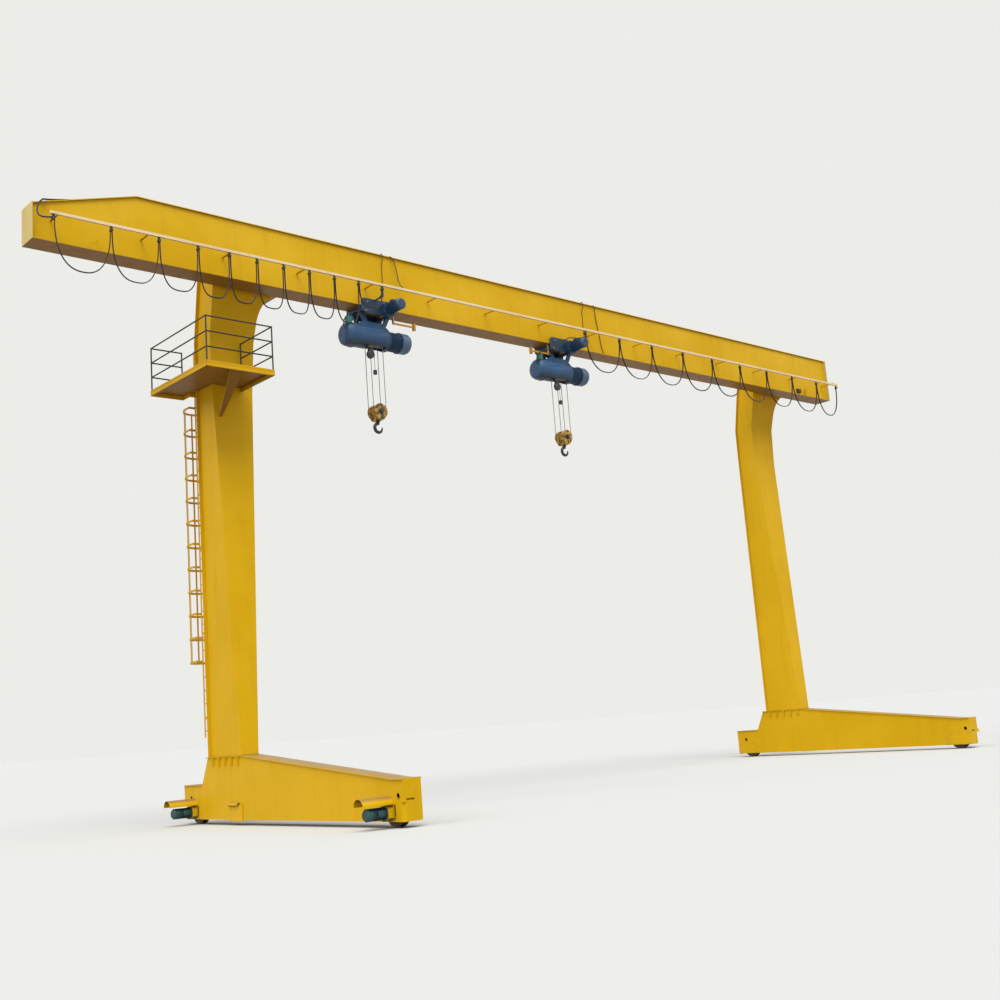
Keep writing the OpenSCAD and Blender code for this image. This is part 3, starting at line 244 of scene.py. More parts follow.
# Columns: welded boxes that taper both ways, whose heads bend forward to meet the girder's rear web.
# The inner side sweeps out under the girder, and the rear plate stands past both sides as a thin lip.
# Each outline below is a list of corners: a height, and how far along or across the crane it lies there.
near_x, far_x, foot = -9.6, 10.8, 0.42
foot_z, foot_front, foot_rear = 1.465, 1.5, 2.83
outer_line = ((foot_z, 0.0), (9.775, -0.06), (13.29, -0.12))
inner_line = ((foot_z, foot), (9.775, 0.98), (13.29, 1.217))
front_line = ((foot_z, foot_front), (9.775, 2.11), (11.01, 2.11), (12.11, 1.86), (12.37, 1.86))
rear_line = ((foot_z, foot_rear), (9.775, 2.77), (11.01, 2.74), (12.11, 2.52), (13.29, 2.27))
flare, flare_low, flare_high, flare_parts = 0.48, 11.46, 12.21, 10
head_low, head_high, head_front = 12.37, 13.29, 1.586
lip_reach, lip_thick, lip_gap = 0.075, 0.014, 0.004


def along_line(line, z):
    """Value at a height on a line of (height, value) corners."""
    for (low, a), (high, b) in zip(line, line[1:]):
        if z <= high + 1e-9:
            return a + (b - a) * (z - low) / (high - low)
    return line[-1][1]


def tower(mesh, rows):
    """A closed box through rectangles (height, x from, x to, y from, y to)."""
    rings = [[mesh.verts.new((x, y, z)) for x, y in ((x0, y0), (x1, y0), (x1, y1), (x0, y1))]
             for z, x0, x1, y0, y1 in rows]
    for low, high in zip(rings, rings[1:]):
        for k in range(4):
            mesh.faces.new((low[k], low[(k + 1) % 4], high[(k + 1) % 4], high[k]))
    mesh.faces.new(rings[0][::-1])
    mesh.faces.new(rings[-1])


# The same yellow enamel, newer and cleaner than on the girder, because the legs stand in its shade
# Its under colour is painted shade on faces that look down, and its darker over colour is dust that also paints shade
# on the tops.
leg_enamel = coat("leg_enamel", "CCA406", "D6AE1A", "92701F", dirt=0.22, under="6E4A26", over="846C44", shine=0.12)
finish_nodes(["near_column", "far_column", "column_feet"], leg_enamel)

heights = [(z, 0.0) for z in (foot_z, 9.775, 11.01)]
for k in range(flare_parts + 1):
    turn = math.radians(90 * k / flare_parts)
    heights.append((flare_low + (flare_high - flare_low) * math.sin(turn), flare * (1 - math.cos(turn))))
# The height where the head steps forward to the web comes twice, once for each depth
heights += [(head_low, flare), (head_low, flare), (head_high, flare)]
for name, x in (("near", near_x), ("far", far_x)):
    mesh = bmesh.new()
    rows, lips = [], []
    for k, (z, out) in enumerate(heights):
        x0, x1 = x + along_line(outer_line, z), x + along_line(inner_line, z) + out
        front = along_line(front_line, z) if k < len(heights) - 2 else head_front
        rear = along_line(rear_line, z)
        rows.append((z, x0, x1, front, rear - lip_gap))
        lips.append((z, x0 - lip_reach, x1 + lip_reach * (1 - out / flare), rear - lip_thick, rear))
    tower(mesh, rows)
    tower(mesh, lips[:-3] + lips[-2:])
    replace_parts(settle(f"{name}_leg_shell", mesh, leg_enamel), f"{name}_column")

# Column welds: a bead round each foot on the beam's top plate, laid by hand.
# The feet carry the whole crane, so these beads are the heaviest.
heavy = 0.014
mesh = bmesh.new()
for x in (near_x, far_x):
    for x0, x1, y1 in ((x - heavy, x, foot_rear + heavy), (x + foot, x + foot + heavy, foot_rear + heavy),
                       (x, x + foot, foot_front)):
        block(mesh, (x0, foot_front - heavy, foot_z), (x1, y1, foot_z + heavy), 0.005)
settle("column_foot_welds", mesh, leg_enamel)

# Ground beams: sloped boxes of welded plate with a top plate that overhangs, in the legs' enamel.
# Each end has a hole for a towing pin, and a turned collar keeps the thin web there from tearing.
finish_nodes(["near_ground_beam", "far_ground_beam", "near_beam_top_plate", "far_beam_top_plate", "jacking_brackets"],
             leg_enamel)
pin_z, collar_sides = 0.575, 32
pin_places = ((-4.06, 0.0), (3.86, 0.03))
collar_profile = ((0.0475, -0.002), (0.0475, 0.006), (0.060, 0.006), (0.064, -0.002))
mesh = bmesh.new()
for x in (near_x, far_x):
    for y, inset in pin_places:
        for edge, side in ((x + inset, -1), (x + foot - inset, 1)):
            ring = []
            for k in range(collar_sides):
                a = 2 * math.pi * k / collar_sides
                ring.append([mesh.verts.new((edge + side * dx, y + r * math.cos(a), pin_z + r * math.sin(a)))
                             for r, dx in collar_profile])
            for k in range(collar_sides):
                one, two = ring[k], ring[(k + 1) % collar_sides]
                for j in range(4):
                    mesh.faces.new((one[j], two[j], two[(j + 1) % 4], one[(j + 1) % 4]))
settle("pin_hole_collars", mesh, leg_enamel)

# Wheels and axle boxes: steel castings, turned on the tread and flange and left bare.
# Rust brown with worn edges, so they sit dark under the yellow beams.
cast_steel = coat("cast_steel", "4A423C", "5C5148", "2C241E", streak=(8.0, 8.0, 8.0), rough=0.55, grain=90.0, dirt=0.6)
finish_nodes(["axle_boxes", "near_front_wheel", "near_rear_wheel", "far_front_wheel", "far_rear_wheel"], cast_steel)


# Wheel covers: plates bolted over the wheels on the undriven sides, with a row of bolts along the rim.
# They are cut from sheet and painted with the beam, and the bolts are left in bright zinc.
def disc(mesh, base, axis, radius, length, sides=24, top=None):
    """A turned disc or cone that grows from its base along an axis."""
    axis = Vector(axis).normalized()
    place = Matrix.Translation(Vector(base) + axis * length / 2) @ axis.to_track_quat("Z", "Y").to_matrix().to_4x4()
    bmesh.ops.create_cone(mesh, cap_ends=True, cap_tris=False, segments=sides, radius1=radius,
                          radius2=radius if top is None else top, depth=length, matrix=place)


def bolt(mesh, base, axis, size):
    """A hexagon head on its washer, for a thread of the given size."""
    axis = Vector(axis).normalized()
    disc(mesh, base, axis, size * 1.1, size * 0.18, 12)
    disc(mesh, Vector(base) + axis * size * 0.18, axis, size * 0.9, size * 0.65, 6)


# Zinc-plated steel gone dull: a grey glint at each bolt head
zinc_steel = coat("zinc_steel", "7C7A74", "8E8B84", "5A4A38", streak=(30.0, 30.0, 30.0), rough=0.42, grain=200.0,
                  dirt=0.6)
finish_nodes(["wheel_covers"], leg_enamel)
beam_end, cover_face = 4.18, 0.0123
mesh = bmesh.new()
for x, side in ((near_x + foot, 1), (far_x, -1)):
    for end, inset in ((-1, 0.0), (1, 0.03)):
        face = x - side * inset + side * cover_face
        for dy, z in ((0.06, 0.16), (0.06, 0.42), (0.35, 0.16), (0.7, 0.16), (0.72, 0.30), (0.35, 0.43), (0.58, 0.43)):
            bolt(mesh, (face, end * (beam_end - dy), z), (side, 0, 0), 0.012)
settle("wheel_cover_bolts", mesh, zinc_steel)


# Travel drives: an electric motor on a cast gearbox at each end of the beams, on the outer side.
# Cooling fins, a slotted fan cover and a terminal box with its cable tell the eye that the drum is a motor.
def ring_of_blocks(mesh, count, centre, axis, reach, size):
    """Blocks of one size, evenly round an axis at a reach from it, each turned to face outwards."""
    for k in range(count):
        turned = Matrix.Translation(centre) @ Matrix.Rotation(2 * math.pi * k / count, 4, axis)
        place = turned @ Matrix.Translation((0, 0, reach)) @ Matrix.Diagonal((*size, 1.0))
        bmesh.ops.create_cube(mesh, size=1.0, matrix=place)


def sweep(mesh, path, radius, sides=8):
    """A round bar or cable along a path, closed at both ends, of one radius or of one for each point."""
    path = [Vector(point) for point in path]
    across = None
    rings = []
    for i, point in enumerate(path):
        run = (path[min(i + 1, len(path) - 1)] - path[max(i - 1, 0)]).normalized()
        if across is None:
            across = run.orthogonal().normalized()
        across = (across - run * across.dot(run)).normalized()
        over = run.cross(across)
        size = radius[i] if isinstance(radius, list) else radius
        rings.append([mesh.verts.new(point + size * (math.cos(a) * across + math.sin(a) * over))
                      for a in (2 * math.pi * k / sides for k in range(sides))])
    for low, high in zip(rings, rings[1:]):
        for k in range(sides):
            mesh.faces.new((low[k], low[(k + 1) % sides], high[(k + 1) % sides], high[k]))
    mesh.faces.new(rings[0][::-1])
    mesh.faces.new(rings[-1])


# Dark green enamel on a casting, dulled by dust and oil
drive_enamel = coat("drive_enamel", "163E44", "225458", "1A2624", streak=(9.0, 9.0, 3.0), rough=0.48, grain=60.0,
                    dirt=0.7)
# Mild steel with its mill scale on: a dull near-black for slots and small forged parts
dark_steel = coat("dark_steel", "2A2B2E", "38393C", "3E3228", streak=(12.0, 12.0, 6.0), rough=0.55, grain=90.0,
                  dirt=0.5)
# Chloroprene cable sheath, moulded and dusty: black with a soft sheen
cable_rubber = coat("cable_rubber", "151417", "201F22", "332E28", streak=(20.0, 20.0, 20.0), rough=0.6, grain=120.0,
                    dirt=0.5)
finish_nodes(["travel_motors"], drive_enamel)
finish_nodes(["travel_gearboxes"], leg_enamel)

# Each drive: the beam's outer face, its place along the beam, and the side it stands out to
drives = ((-9.6003, -3.75, -1), (-9.5703, 3.75, -1), (11.2203, -3.75, 1), (11.1903, 3.75, 1))
gearbox_depth, drive_z = 0.1103, 0.275
fins, slots, bolts, boxes, cables = (bmesh.new() for _ in range(5))
for x, y, side in drives:
    start = x + side * gearbox_depth
    ring_of_blocks(fins, 24, (start + side * 0.163, y, drive_z), "X", 0.1075, (0.272, 0.005, 0.013))
    ring_of_blocks(slots, 16, (start + side * 0.4302, y, drive_z), "X", 0.052, (0.001, 0.008, 0.05))
    for dy, z in ((-0.115, 0.18), (0.115, 0.18), (-0.115, 0.35), (0.115, 0.35)):
        bolt(bolts, (start - side * 0.0003, y + dy, z), (side, 0, 0), 0.012)
    box_from, box_to = sorted((start + side * 0.1, start + side * 0.22))
    block(boxes, (box_from, y - 0.165, 0.235), (box_to, y - 0.10, 0.335), 0.008)
    gland = start + side * 0.16
    disc(boxes, (gland, y - 0.135, 0.215), (0, 0, 1), 0.014, 0.025, 12)
    sweep(cables, [(gland, y - 0.135, 0.22), (gland, y - 0.135, 0.18), (start + side * 0.13, y - 0.15, 0.15),
                   (start + side * 0.02, y - 0.17, 0.15), (x + side * 0.02, y - 0.19, 0.17),
                   (x + side * 0.012, y - 0.2, 0.25), (x + side * 0.012, y - 0.2, 0.42)], 0.009)
settle("drive_motor_fins", fins, drive_enamel)
settle("drive_fan_slots", slots, dark_steel)
settle("drive_cover_bolts", bolts, zinc_steel)
settle("drive_terminal_boxes", boxes, drive_enamel)
settle("drive_motor_cables", cables, cable_rubber)

# Rain hoods: rolled sheet over each drive, painted with the beam, with a rolled lip round both mouths.
# The lip stiffens the sheet and catches light as a thin bright arc over the dark motor.
finish_nodes(["motor_hoods"], leg_enamel)
hood_radius, hood_z, lip_radius = 0.148, 0.425, 0.006
half_turn = [math.pi * k / 16 for k in range(17)]
mesh = bmesh.new()
for x, y, side in drives:
    for reach in (0.664, 0.012):
        sweep(mesh, [(x + side * reach, y + hood_radius * math.cos(a), hood_z + hood_radius * math.sin(a))
                     for a in half_turn], lip_radius, 8)
settle("hood_lips", mesh, leg_enamel)

# Platform: a floor plate in a shallow frame, welded up and cut out round the column and at the ladder.
# One strut that tapers downwards carries it, and the ladder and the cage of flat bar share its paint.
# Yellow enamel on trodden plate: dustier on top than the legs, that dust colour also painting shade on the tops, and
# brown underneath as painted shade
platform_enamel = coat("platform_enamel", "C89C0A", "D2A81E", "86631E", dirt=0.3, under="6A4826", over="7E6A46",
                       shine=0.12)
finish_nodes(["platform_floor", "ladder", "ladder_cage", "cage_straps"], platform_enamel)
floor_z, frame_low, frame_high, sheet, angle = 9.875, 9.775, 9.912, 0.006, 0.05
west, east, south, north = -10.59, -8.90, 0.62, 3.32
neck_x, neck_y, hatch_x, hatch_y = -9.662, 2.112, -9.77, 2.99
neck_rear, inner_x = 2.772, -9.5
mesh = bmesh.new()
for x0, y0, x1, y1 in ((west, south, east, neck_y), (west, neck_y, hatch_x, north), (hatch_x, neck_y, neck_x, hatch_y),
                       (neck_x, neck_rear, inner_x, hatch_y)):
    block(mesh, (x0, y0, floor_z - 0.008), (x1, y1, floor_z))
for x0, y0, x1, y1 in ((west, south, east, south + sheet), (west, south, west + sheet, north),
                       (east - sheet, south, east, neck_y), (west, north - sheet, hatch_x, north),
                       (hatch_x - sheet, hatch_y, hatch_x, north), (hatch_x, hatch_y - sheet, inner_x, hatch_y)):
    block(mesh, (x0, y0, frame_low), (x1, y1, frame_high))
for x0, y0, x1, y1 in ((west, south, east, south + angle), (west, south, west + angle, north),
                       (east - angle, south, east, neck_y)):
    block(mesh, (x0, y0, frame_low), (x1, y1, frame_low + sheet))
slab = []
for x, y, z in ((-9.90, 0.82, 9.868), (-9.57, 0.82, 9.868), (-9.46, neck_y, 9.085), (-9.52, neck_y, 9.085)):
    slab.append([mesh.verts.new((x, y + side * 0.005, z + side * 0.008)) for side in (-1, 1)])
mesh.faces.new([pair[0] for pair in slab])
mesh.faces.new([pair[1] for pair in slab][::-1])
for k in range(4):
    one, two = slab[k], slab[(k + 1) % 4]
    mesh.faces.new((one[0], one[1], two[1], two[0]))
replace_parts(settle("platform_deck", mesh, platform_enamel), "platform_floor")

# Railings: steel tube in three rows between corner posts, welded where they meet.
# Each post stands on a foot plate that two bolts hold to the floor.
# Near-black enamel on thin tube: dark lines against the sky
rail_enamel = coat("rail_enamel", "1E1B12", "2A2618", "14120D", rough=0.5, grain=80.0, dirt=0.5)
finish_nodes(["railing_left", "railing_front", "railing_right", "railing_rear"], rail_enamel)
low_x, high_x, low_y, high_y = -10.5667, -8.9233, 0.6433, 3.2967
post_radius, post_height, rail_radius = 0.017, 1.067, 0.0165
plate_half, plate_thick, plate_inset, bolt_reach = 0.045, 0.008, 0.007, 0.033
# Each post, and a point that shows to which side of it its two foot bolts lie
posts = [((-9.7933, high_y), (low_x, low_y)), ((low_x, high_y), (high_x, low_y)), ((low_x, low_y), (high_x, high_y)),
         ((high_x, low_y), (low_x, high_y)), ((high_x, 2.05), (low_x, low_y))]
tubes, plates, bolts = bmesh.new(), bmesh.new(), bmesh.new()
for (x, y), (to_x, to_y) in posts:
    disc(tubes, (x, y, floor_z), (0, 0, 1), post_radius, post_height, 20)
    block(plates, (max(x - plate_half, west + plate_inset), max(y - plate_half, south + plate_inset), floor_z),
          (min(x + plate_half, east - plate_inset), min(y + plate_half, north - plate_inset), floor_z + plate_thick),
          0.002)
    for step in (Vector((math.copysign(bolt_reach, to_x - x), 0, 0)),
                 Vector((0, math.copysign(bolt_reach, to_y - y), 0))):
        bolt(bolts, Vector((x, y, floor_z + plate_thick)) + step, (0, 0, 1), 0.008)
for ((x, y), _), ((to_x, to_y), _) in zip(posts, posts[1:]):
    for rise in (0.35, 0.70, 1.05):
        sweep(tubes, [(x, y, floor_z + rise), (to_x, to_y, floor_z + rise)], rail_radius, 16)
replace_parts(settle("platform_railing", tubes, rail_enamel), "railing_left", "railing_front", "railing_right",
            "railing_rear")
settle("railing_foot_plates", plates, rail_enamel)
settle("railing_foot_bolts", bolts, zinc_steel)

# Ladder cage: hoops and straps of flat bar, riveted where they cross.
# A row of rivet heads on each hoop is what shows how such a cage is put together.
hoops, hoop_low, hoop_step, hoop_radius = 12, 3.6, 0.54, 0.356
mesh = bmesh.new()
for k in range(hoops):
    for a in (0, 45, 90, 135, 180):
        out = Vector((math.cos(math.radians(a)), math.sin(math.radians(a)), 0))
        base = Vector((-9.4, 3.3003, hoop_low + k * hoop_step)) + out * hoop_radius
        disc(mesh, base - out * 0.001, out, 0.012, 0.006, 10, 0.006)
settle("cage_rivets", mesh, platform_enamel)

# Cable rail: a cold-rolled channel on hangers that are bolted to the girder's web.
# A cap closes each end, and a stop block at the right end keeps the last carrier on.
# Cream enamel: a pale line along the whole girder
channel_enamel = coat("channel_enamel", "DCC8A0", "E6D6B4", "A08A66", dirt=0.4)
finish_nodes(["festoon_rail"], channel_enamel)
rail_west, rail_east, rail_y, hangers = -13.93, 14.05, 0.70, 15
bolts, caps = bmesh.new(), bmesh.new()
for k in range(hangers):
    x = rail_west + 0.18 + k * (rail_east - rail_west - 0.4) / (hangers - 1)
    bolt(bolts, (x + 0.025, 1.185, 12.61), (0, -1, 0), 0.010)
    bolt(bolts, (x + 0.022, rail_y, 12.5955), (0, 0, 1), 0.008)
for x0, x1 in ((rail_west - 0.006, rail_west), (rail_east, rail_east + 0.006)):
    block(caps, (x0, 0.668, 12.528), (x1, 0.732, 12.592), 0.002)
block(caps, (14.0, 0.655, 12.465), (14.06, 0.745, 12.615), 0.004)
settle("rail_hanger_bolts", bolts, zinc_steel)
settle("rail_end_caps", caps, channel_enamel)

# Festoon: three flexible cables hang in loops between small carriers.
finish_nodes(["festoon_near", "festoon_far", "feed_cables"], cable_rubber)
carrier_z, carrier_half, cable_radius = 12.45, 0.020, 0.008
full_drop, short_drop, narrow_gap = 1.05, 0.53, 0.705


def festoon(name, places, node):
    """Hang cable loops between carriers, with each loop's ends at the carriers on either side."""
    for k, x in enumerate(places):
        body, wheels = bmesh.new(), bmesh.new()
        block(body, (x - 0.035, 0.672, carrier_z), (x + 0.035, 0.728, carrier_z + 0.012), 0.003)
        block(body, (x - 0.030, 0.694, carrier_z + 0.012), (x + 0.030, 0.706, 12.548), 0.002)
        disc(body, (x, 0.664, 12.448), (0, 1, 0), 0.034, 0.072, 20)
        for dx in (-0.018, 0.018):
            for dy in (-1, 1):
                disc(wheels, (x + dx, rail_y + dy * 0.006, 12.5525), (0, dy, 0), 0.0155, 0.012, 16)
        for piece, kind, material in ((body, "carrier", dark_steel), (wheels, "rollers", zinc_steel)):
            made = settle(f"{name}_{kind}_{k + 1}", piece, material, None)
            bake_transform(made)
    for k in range(len(places) - 1):
        low, high = places[k] + carrier_half, places[k + 1] - carrier_half
        gap = places[k + 1] - places[k]
        # Loops between carriers that stand close are squarer at the bottom than wide ones
        wide = min(1.0, max(0.0, (gap - 0.736) / 0.52))
        bend = 2 / (3.2 - 0.9 * wide)
        mesh = bmesh.new()
        for lane, deeper in ((-0.014, 0.006), (0.0, -0.010), (0.014, 0.0)):
            drop = short_drop if gap < narrow_gap and k == len(places) - 2 else full_drop
            drop += deeper * (1 + 0.4 * math.sin(5 * k + 40 * lane))
            path = [(low - 0.012, rail_y + lane, 12.475)]
            for i in range(33):
                s = math.pi * i / 32
                aside = math.copysign(abs(math.cos(s)) ** bend, math.cos(s))
                path.append(((low + high) / 2 - (high - low) / 2 * aside, rail_y + lane + 0.006 * math.sin(3 * s + k),
                             12.445 - drop * math.sin(s) ** bend))
            path.append((high + 0.012, rail_y + lane, 12.475))
            sweep(mesh, path, cable_radius, 8)
        made = settle(f"{name}_loop_{k + 1}", mesh, cable_rubber, None)
        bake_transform(made)
    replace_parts(made, node)


near_places = [-13.87, -12.65, -11.58, -10.66, -9.89, -9.19, -8.49, -7.79, -7.09, -6.39, -5.69]
far_places = [1.43, 2.85, 4.27, 5.69, 7.11, 8.53, 9.95, 11.37, 12.79, 13.99]
festoon("near_festoon", near_places, "festoon_near")
festoon("far_festoon", far_places, "festoon_far")

# Supply cable: one thick rubber cable that feeds the whole crane.
# It lies along the girder's tapered end, comes over its corner and drops to the first carrier.
mesh = bmesh.new()
sweep(mesh, [(-12.6, 1.30, 13.39), (-13.2, 1.28, 13.215), (-13.7, 1.2, 13.075), (-13.93, 1.10, 12.995),
             (-14.03, 1.03, 12.88), (-14.09, 0.97, 12.74), (-14.12, 0.92, 12.62), (-14.11, 0.86, 12.52),
             (-14.06, 0.80, 12.47), (-13.98, 0.74, 12.455), (-13.90, 0.70, 12.456)], 0.018, 10)
settle("supply_cable", mesh, cable_rubber)

# Feed cables: beside each fixed drop a second, slacker rubber cable comes over the top flange.
# It hangs down the web and isn't clipped, so it bows out a little.
mesh = bmesh.new()
sweep(mesh, [(-5.06, 1.24, 13.598), (-5.04, 1.16, 13.602), (-5.0, 1.135, 13.56), (-4.92, 1.13, 13.42),
             (-4.865, 1.13, 13.2), (-4.86, 1.10, 12.98), (-4.89, 1.0, 12.82), (-4.94, 0.86, 12.70),
             (-4.97, 0.74, 12.61)], 0.011, 8)
sweep(mesh, [(2.34, 1.24, 13.598), (2.36, 1.16, 13.602), (2.37, 1.135, 13.55), (2.44, 1.18, 13.2),
             (2.52, 1.182, 12.75), (2.58, 1.18, 12.35), (2.60, 1.15, 12.2), (2.60, 1.12, 12.14)], 0.011, 8)
settle("slack_feed_cables", mesh, cable_rubber)

# Travel limit switch: a small black box on the web's lower part, near the girder's right end.
# It ends the hoists' travel, and its cable leaves through a gland below.
# Blackened steel: darker and smoother than the mill-scaled parts
hook_steel = coat("hook_steel", "26262A", "343438", "3E3026", streak=(20.0, 20.0, 20.0), rough=0.5, grain=120.0,
                  dirt=0.5)
mesh = bmesh.new()
block(mesh, (12.28, 1.125, 12.205), (12.49, 1.196, 12.335), 0.008)
disc(mesh, (12.385, 1.16, 12.205), (0, 0, -1), 0.014, 0.03, 12)
settle("travel_limit_switch", mesh, hook_steel)


# Hoists: cast and pressed housings under a trolley whose wheels run on the girder's lower flange.
# Fins, fan slots, bolt circles and tie-rod nuts show how each is bolted up from motor, drum and gearbox.
# Both are alike, so one group of meshes is made for each at its place under the girder.
def paint_over(material, mask, colour):
    """Lay a second colour over a coat where a mask node says."""
    tree = material.node_tree
    shader = tree.nodes["Principled BSDF"]
    first = shader.inputs["Base Color"].links[0].from_socket
    both = add(tree, "ShaderNodeMix", {"data_type": "RGBA", 7: linear(colour)}, {0: (mask, 0)})
    tree.links.new(first, both.inputs[6])
    tree.links.new(both.outputs[2], shader.inputs["Base Color"])
    return material


def second_coat(material, axis, low, high, colour):
    """Spray a second colour over one end of a piece, where the place along an axis passes from low to high."""
    tree = material.node_tree
    place = add(tree, "ShaderNodeTexCoord")
    along = add(tree, "ShaderNodeSeparateXYZ", None, {0: (place, "Object")})
    return paint_over(material, add(tree, "ShaderNodeMapRange", {1: low, 2: high}, {0: (along, axis)}), colour)


# Each hoist: its number, its place along the girder, and the side its buffer arm points to
hoists = ((1, -5.58, 1), (2, 0.85, -1))
track_y, flange_z, drum_z, travel_z = 1.39, 12.11, 11.39, 12.07
# Deep blue enamel on castings: paler on top, where dust lies and a painted highlight stands for the light from above,
# and nearly black below as painted shade
hoist_enamel = coat("hoist_enamel", "204A74", "2C5E90", "16202E", streak=(9.0, 9.0, 3.0), rough=0.42, grain=60.0,
                    dirt=0.6, under="141E2A", over="5480AC")
# The motors' own blue, duller from heat and grease
motor_enamel = coat("motor_enamel", "1B3E62", "264E76", "141E2A", streak=(9.0, 9.0, 9.0), rough=0.5, grain=60.0,
                    dirt=0.6)
# Blue-green hammered enamel on the small control box, which sets it off from the housing
box_enamel = coat("box_enamel", "2F6E72", "3C8084", "22403E", streak=(14.0, 14.0, 8.0), rough=0.5, grain=90.0, dirt=0.6)
for k, at, arm in hoists:
    body = f"hoist_{k}"
    finish_nodes([f"drum_housing_{k}", f"lift_gearbox_{k}"], hoist_enamel)
    finish_nodes([f"travel_drive_{k}"], motor_enamel)
    # The brake cover is paler than the motor, and the buffer arm is yellow like the girder
    # Its pale over colour is a painted highlight along the cover's top.
    cover = coat(f"motor_cover_enamel_{k}", "1B3E62", "264E76", "141E2A", streak=(9.0, 9.0, 9.0), rough=0.5, grain=60.0,
                 dirt=0.6, over="5E7890")
    finish_nodes([f"lift_motor_{k}"], second_coat(cover, "X", at + 0.800, at + 0.803, "4A6480"))
    # The frame's blue is darker than the housing's: painted shade, for the frame sits in the girder's shadow.
    shaded_frame_coat = coat(f"shaded_frame_enamel_{k}", "1B3854", "264A6A", "121A24", streak=(9.0, 9.0, 3.0), rough=0.45, grain=60.0,
                      dirt=0.7)
    finish_nodes([f"trolley_frame_{k}"], second_coat(shaded_frame_coat, "X", at + arm * 0.5005, at + arm * 0.5015, "C08A1E"))
    finish_nodes([f"rope_guide_{k}", f"limit_weight_{k}", f"trolley_wheels_{k}"], dark_steel)

    fins, slots, bolts, boxes, controls, cables = (bmesh.new() for _ in range(6))
    # Travel motor, which stands out towards the front
    motor_x = at + 0.26
    ring_of_blocks(fins, 24, (motor_x, track_y - 0.6693, travel_z), "Y", 0.1325, (0.005, 0.372, 0.014))
    ring_of_blocks(slots, 16, (motor_x, track_y - 0.9775, travel_z), "Y", 0.065, (0.009, 0.001, 0.06))
    block(boxes, (at + 0.195, track_y - 0.68, 12.185), (at + 0.325, track_y - 0.54, 12.262), 0.008)
    for dx, dz in ((-0.135, 0.125), (0.135, 0.12), (-0.148, -0.075), (0.148, -0.075)):
        bolt(bolts, (motor_x + dx, track_y - 0.458, travel_z + dz), (0, -1, 0), 0.012)
    # Tie rods and wheel axles end in nuts outside the side plates
    for side in (-1, 1):
        for dx in (-0.38, 0.38):
            disc(bolts, (at + dx, track_y + side * 0.326, flange_z - 0.125), (0, side, 0), 0.040, 0.006, 20)
            disc(bolts, (at + dx, track_y + side * 0.332, flange_z - 0.125), (0, side, 0), 0.033, 0.024, 6)
        for dx in (-0.33, 0.33):
            disc(bolts, (at + dx, track_y + side * 0.338, 12.2053), (0, side, 0), 0.028, 0.016, 6)
    # Bolt circles on the gearbox flange, the motor's end flange and the brake cover
    for count, radius, dx, side, size in ((12, 0.29, -0.645, -1, 0.010), (12, 0.262, 0.40, 1, 0.012),
                                          (10, 0.25, 0.774, -1, 0.010)):
        for j in range(count):
            a = 2 * math.pi * (j + 0.5) / count
            bolt(bolts, (at + dx, track_y + radius * math.cos(a), drum_z + radius * math.sin(a)), (side, 0, 0), size)
    # Control box on the gearbox's upper side, with the cable that comes from the festoon
    block(controls, (at - 0.86, track_y - 0.23, 11.62), (at - 0.72, track_y - 0.09, 11.80), 0.010)
    block(controls, (at - 0.83, track_y - 0.21, 11.50), (at - 0.74, track_y - 0.11, 11.63), 0.004)
    if k == 1:
        lead = at - 0.11
        cable = [(lead, 0.70, 12.45), (lead - 0.02, 0.72, 12.30), (lead - 0.15, 0.80, 12.12)]
    else:
        lead = at + 0.58
        cable = [(lead, 0.70, 12.45), (lead - 0.02, 0.715, 12.36), (lead - 0.16, 0.78, 12.31), (at + 0.10, 0.86, 12.30),
                 (at - 0.20, 0.88, 12.16)]
    cable += [(at - 0.42, 0.86, 11.98), (at - 0.62, 0.93, 11.89), (at - 0.82, 1.0, 11.83), (at - 0.94, 1.07, 11.76),
              (at - 1.0, 1.13, 11.64), (at - 0.985, 1.18, 11.52), (at - 0.92, 1.21, 11.49), (at - 0.855, 1.22, 11.56),
              (at - 0.80, 1.225, 11.64)]
    sweep(cables, cable, 0.013, 8)
    settle(f"travel_motor_fins_{k}", fins, motor_enamel, body)
    settle(f"travel_fan_slots_{k}", slots, dark_steel, body)
    settle(f"hoist_bolts_{k}", bolts, zinc_steel, body)
    settle(f"hoist_boxes_{k}", boxes, motor_enamel, body)
    settle(f"hoist_controls_{k}", controls, box_enamel, body)
    settle(f"hoist_cable_{k}", cables, cable_rubber, body)
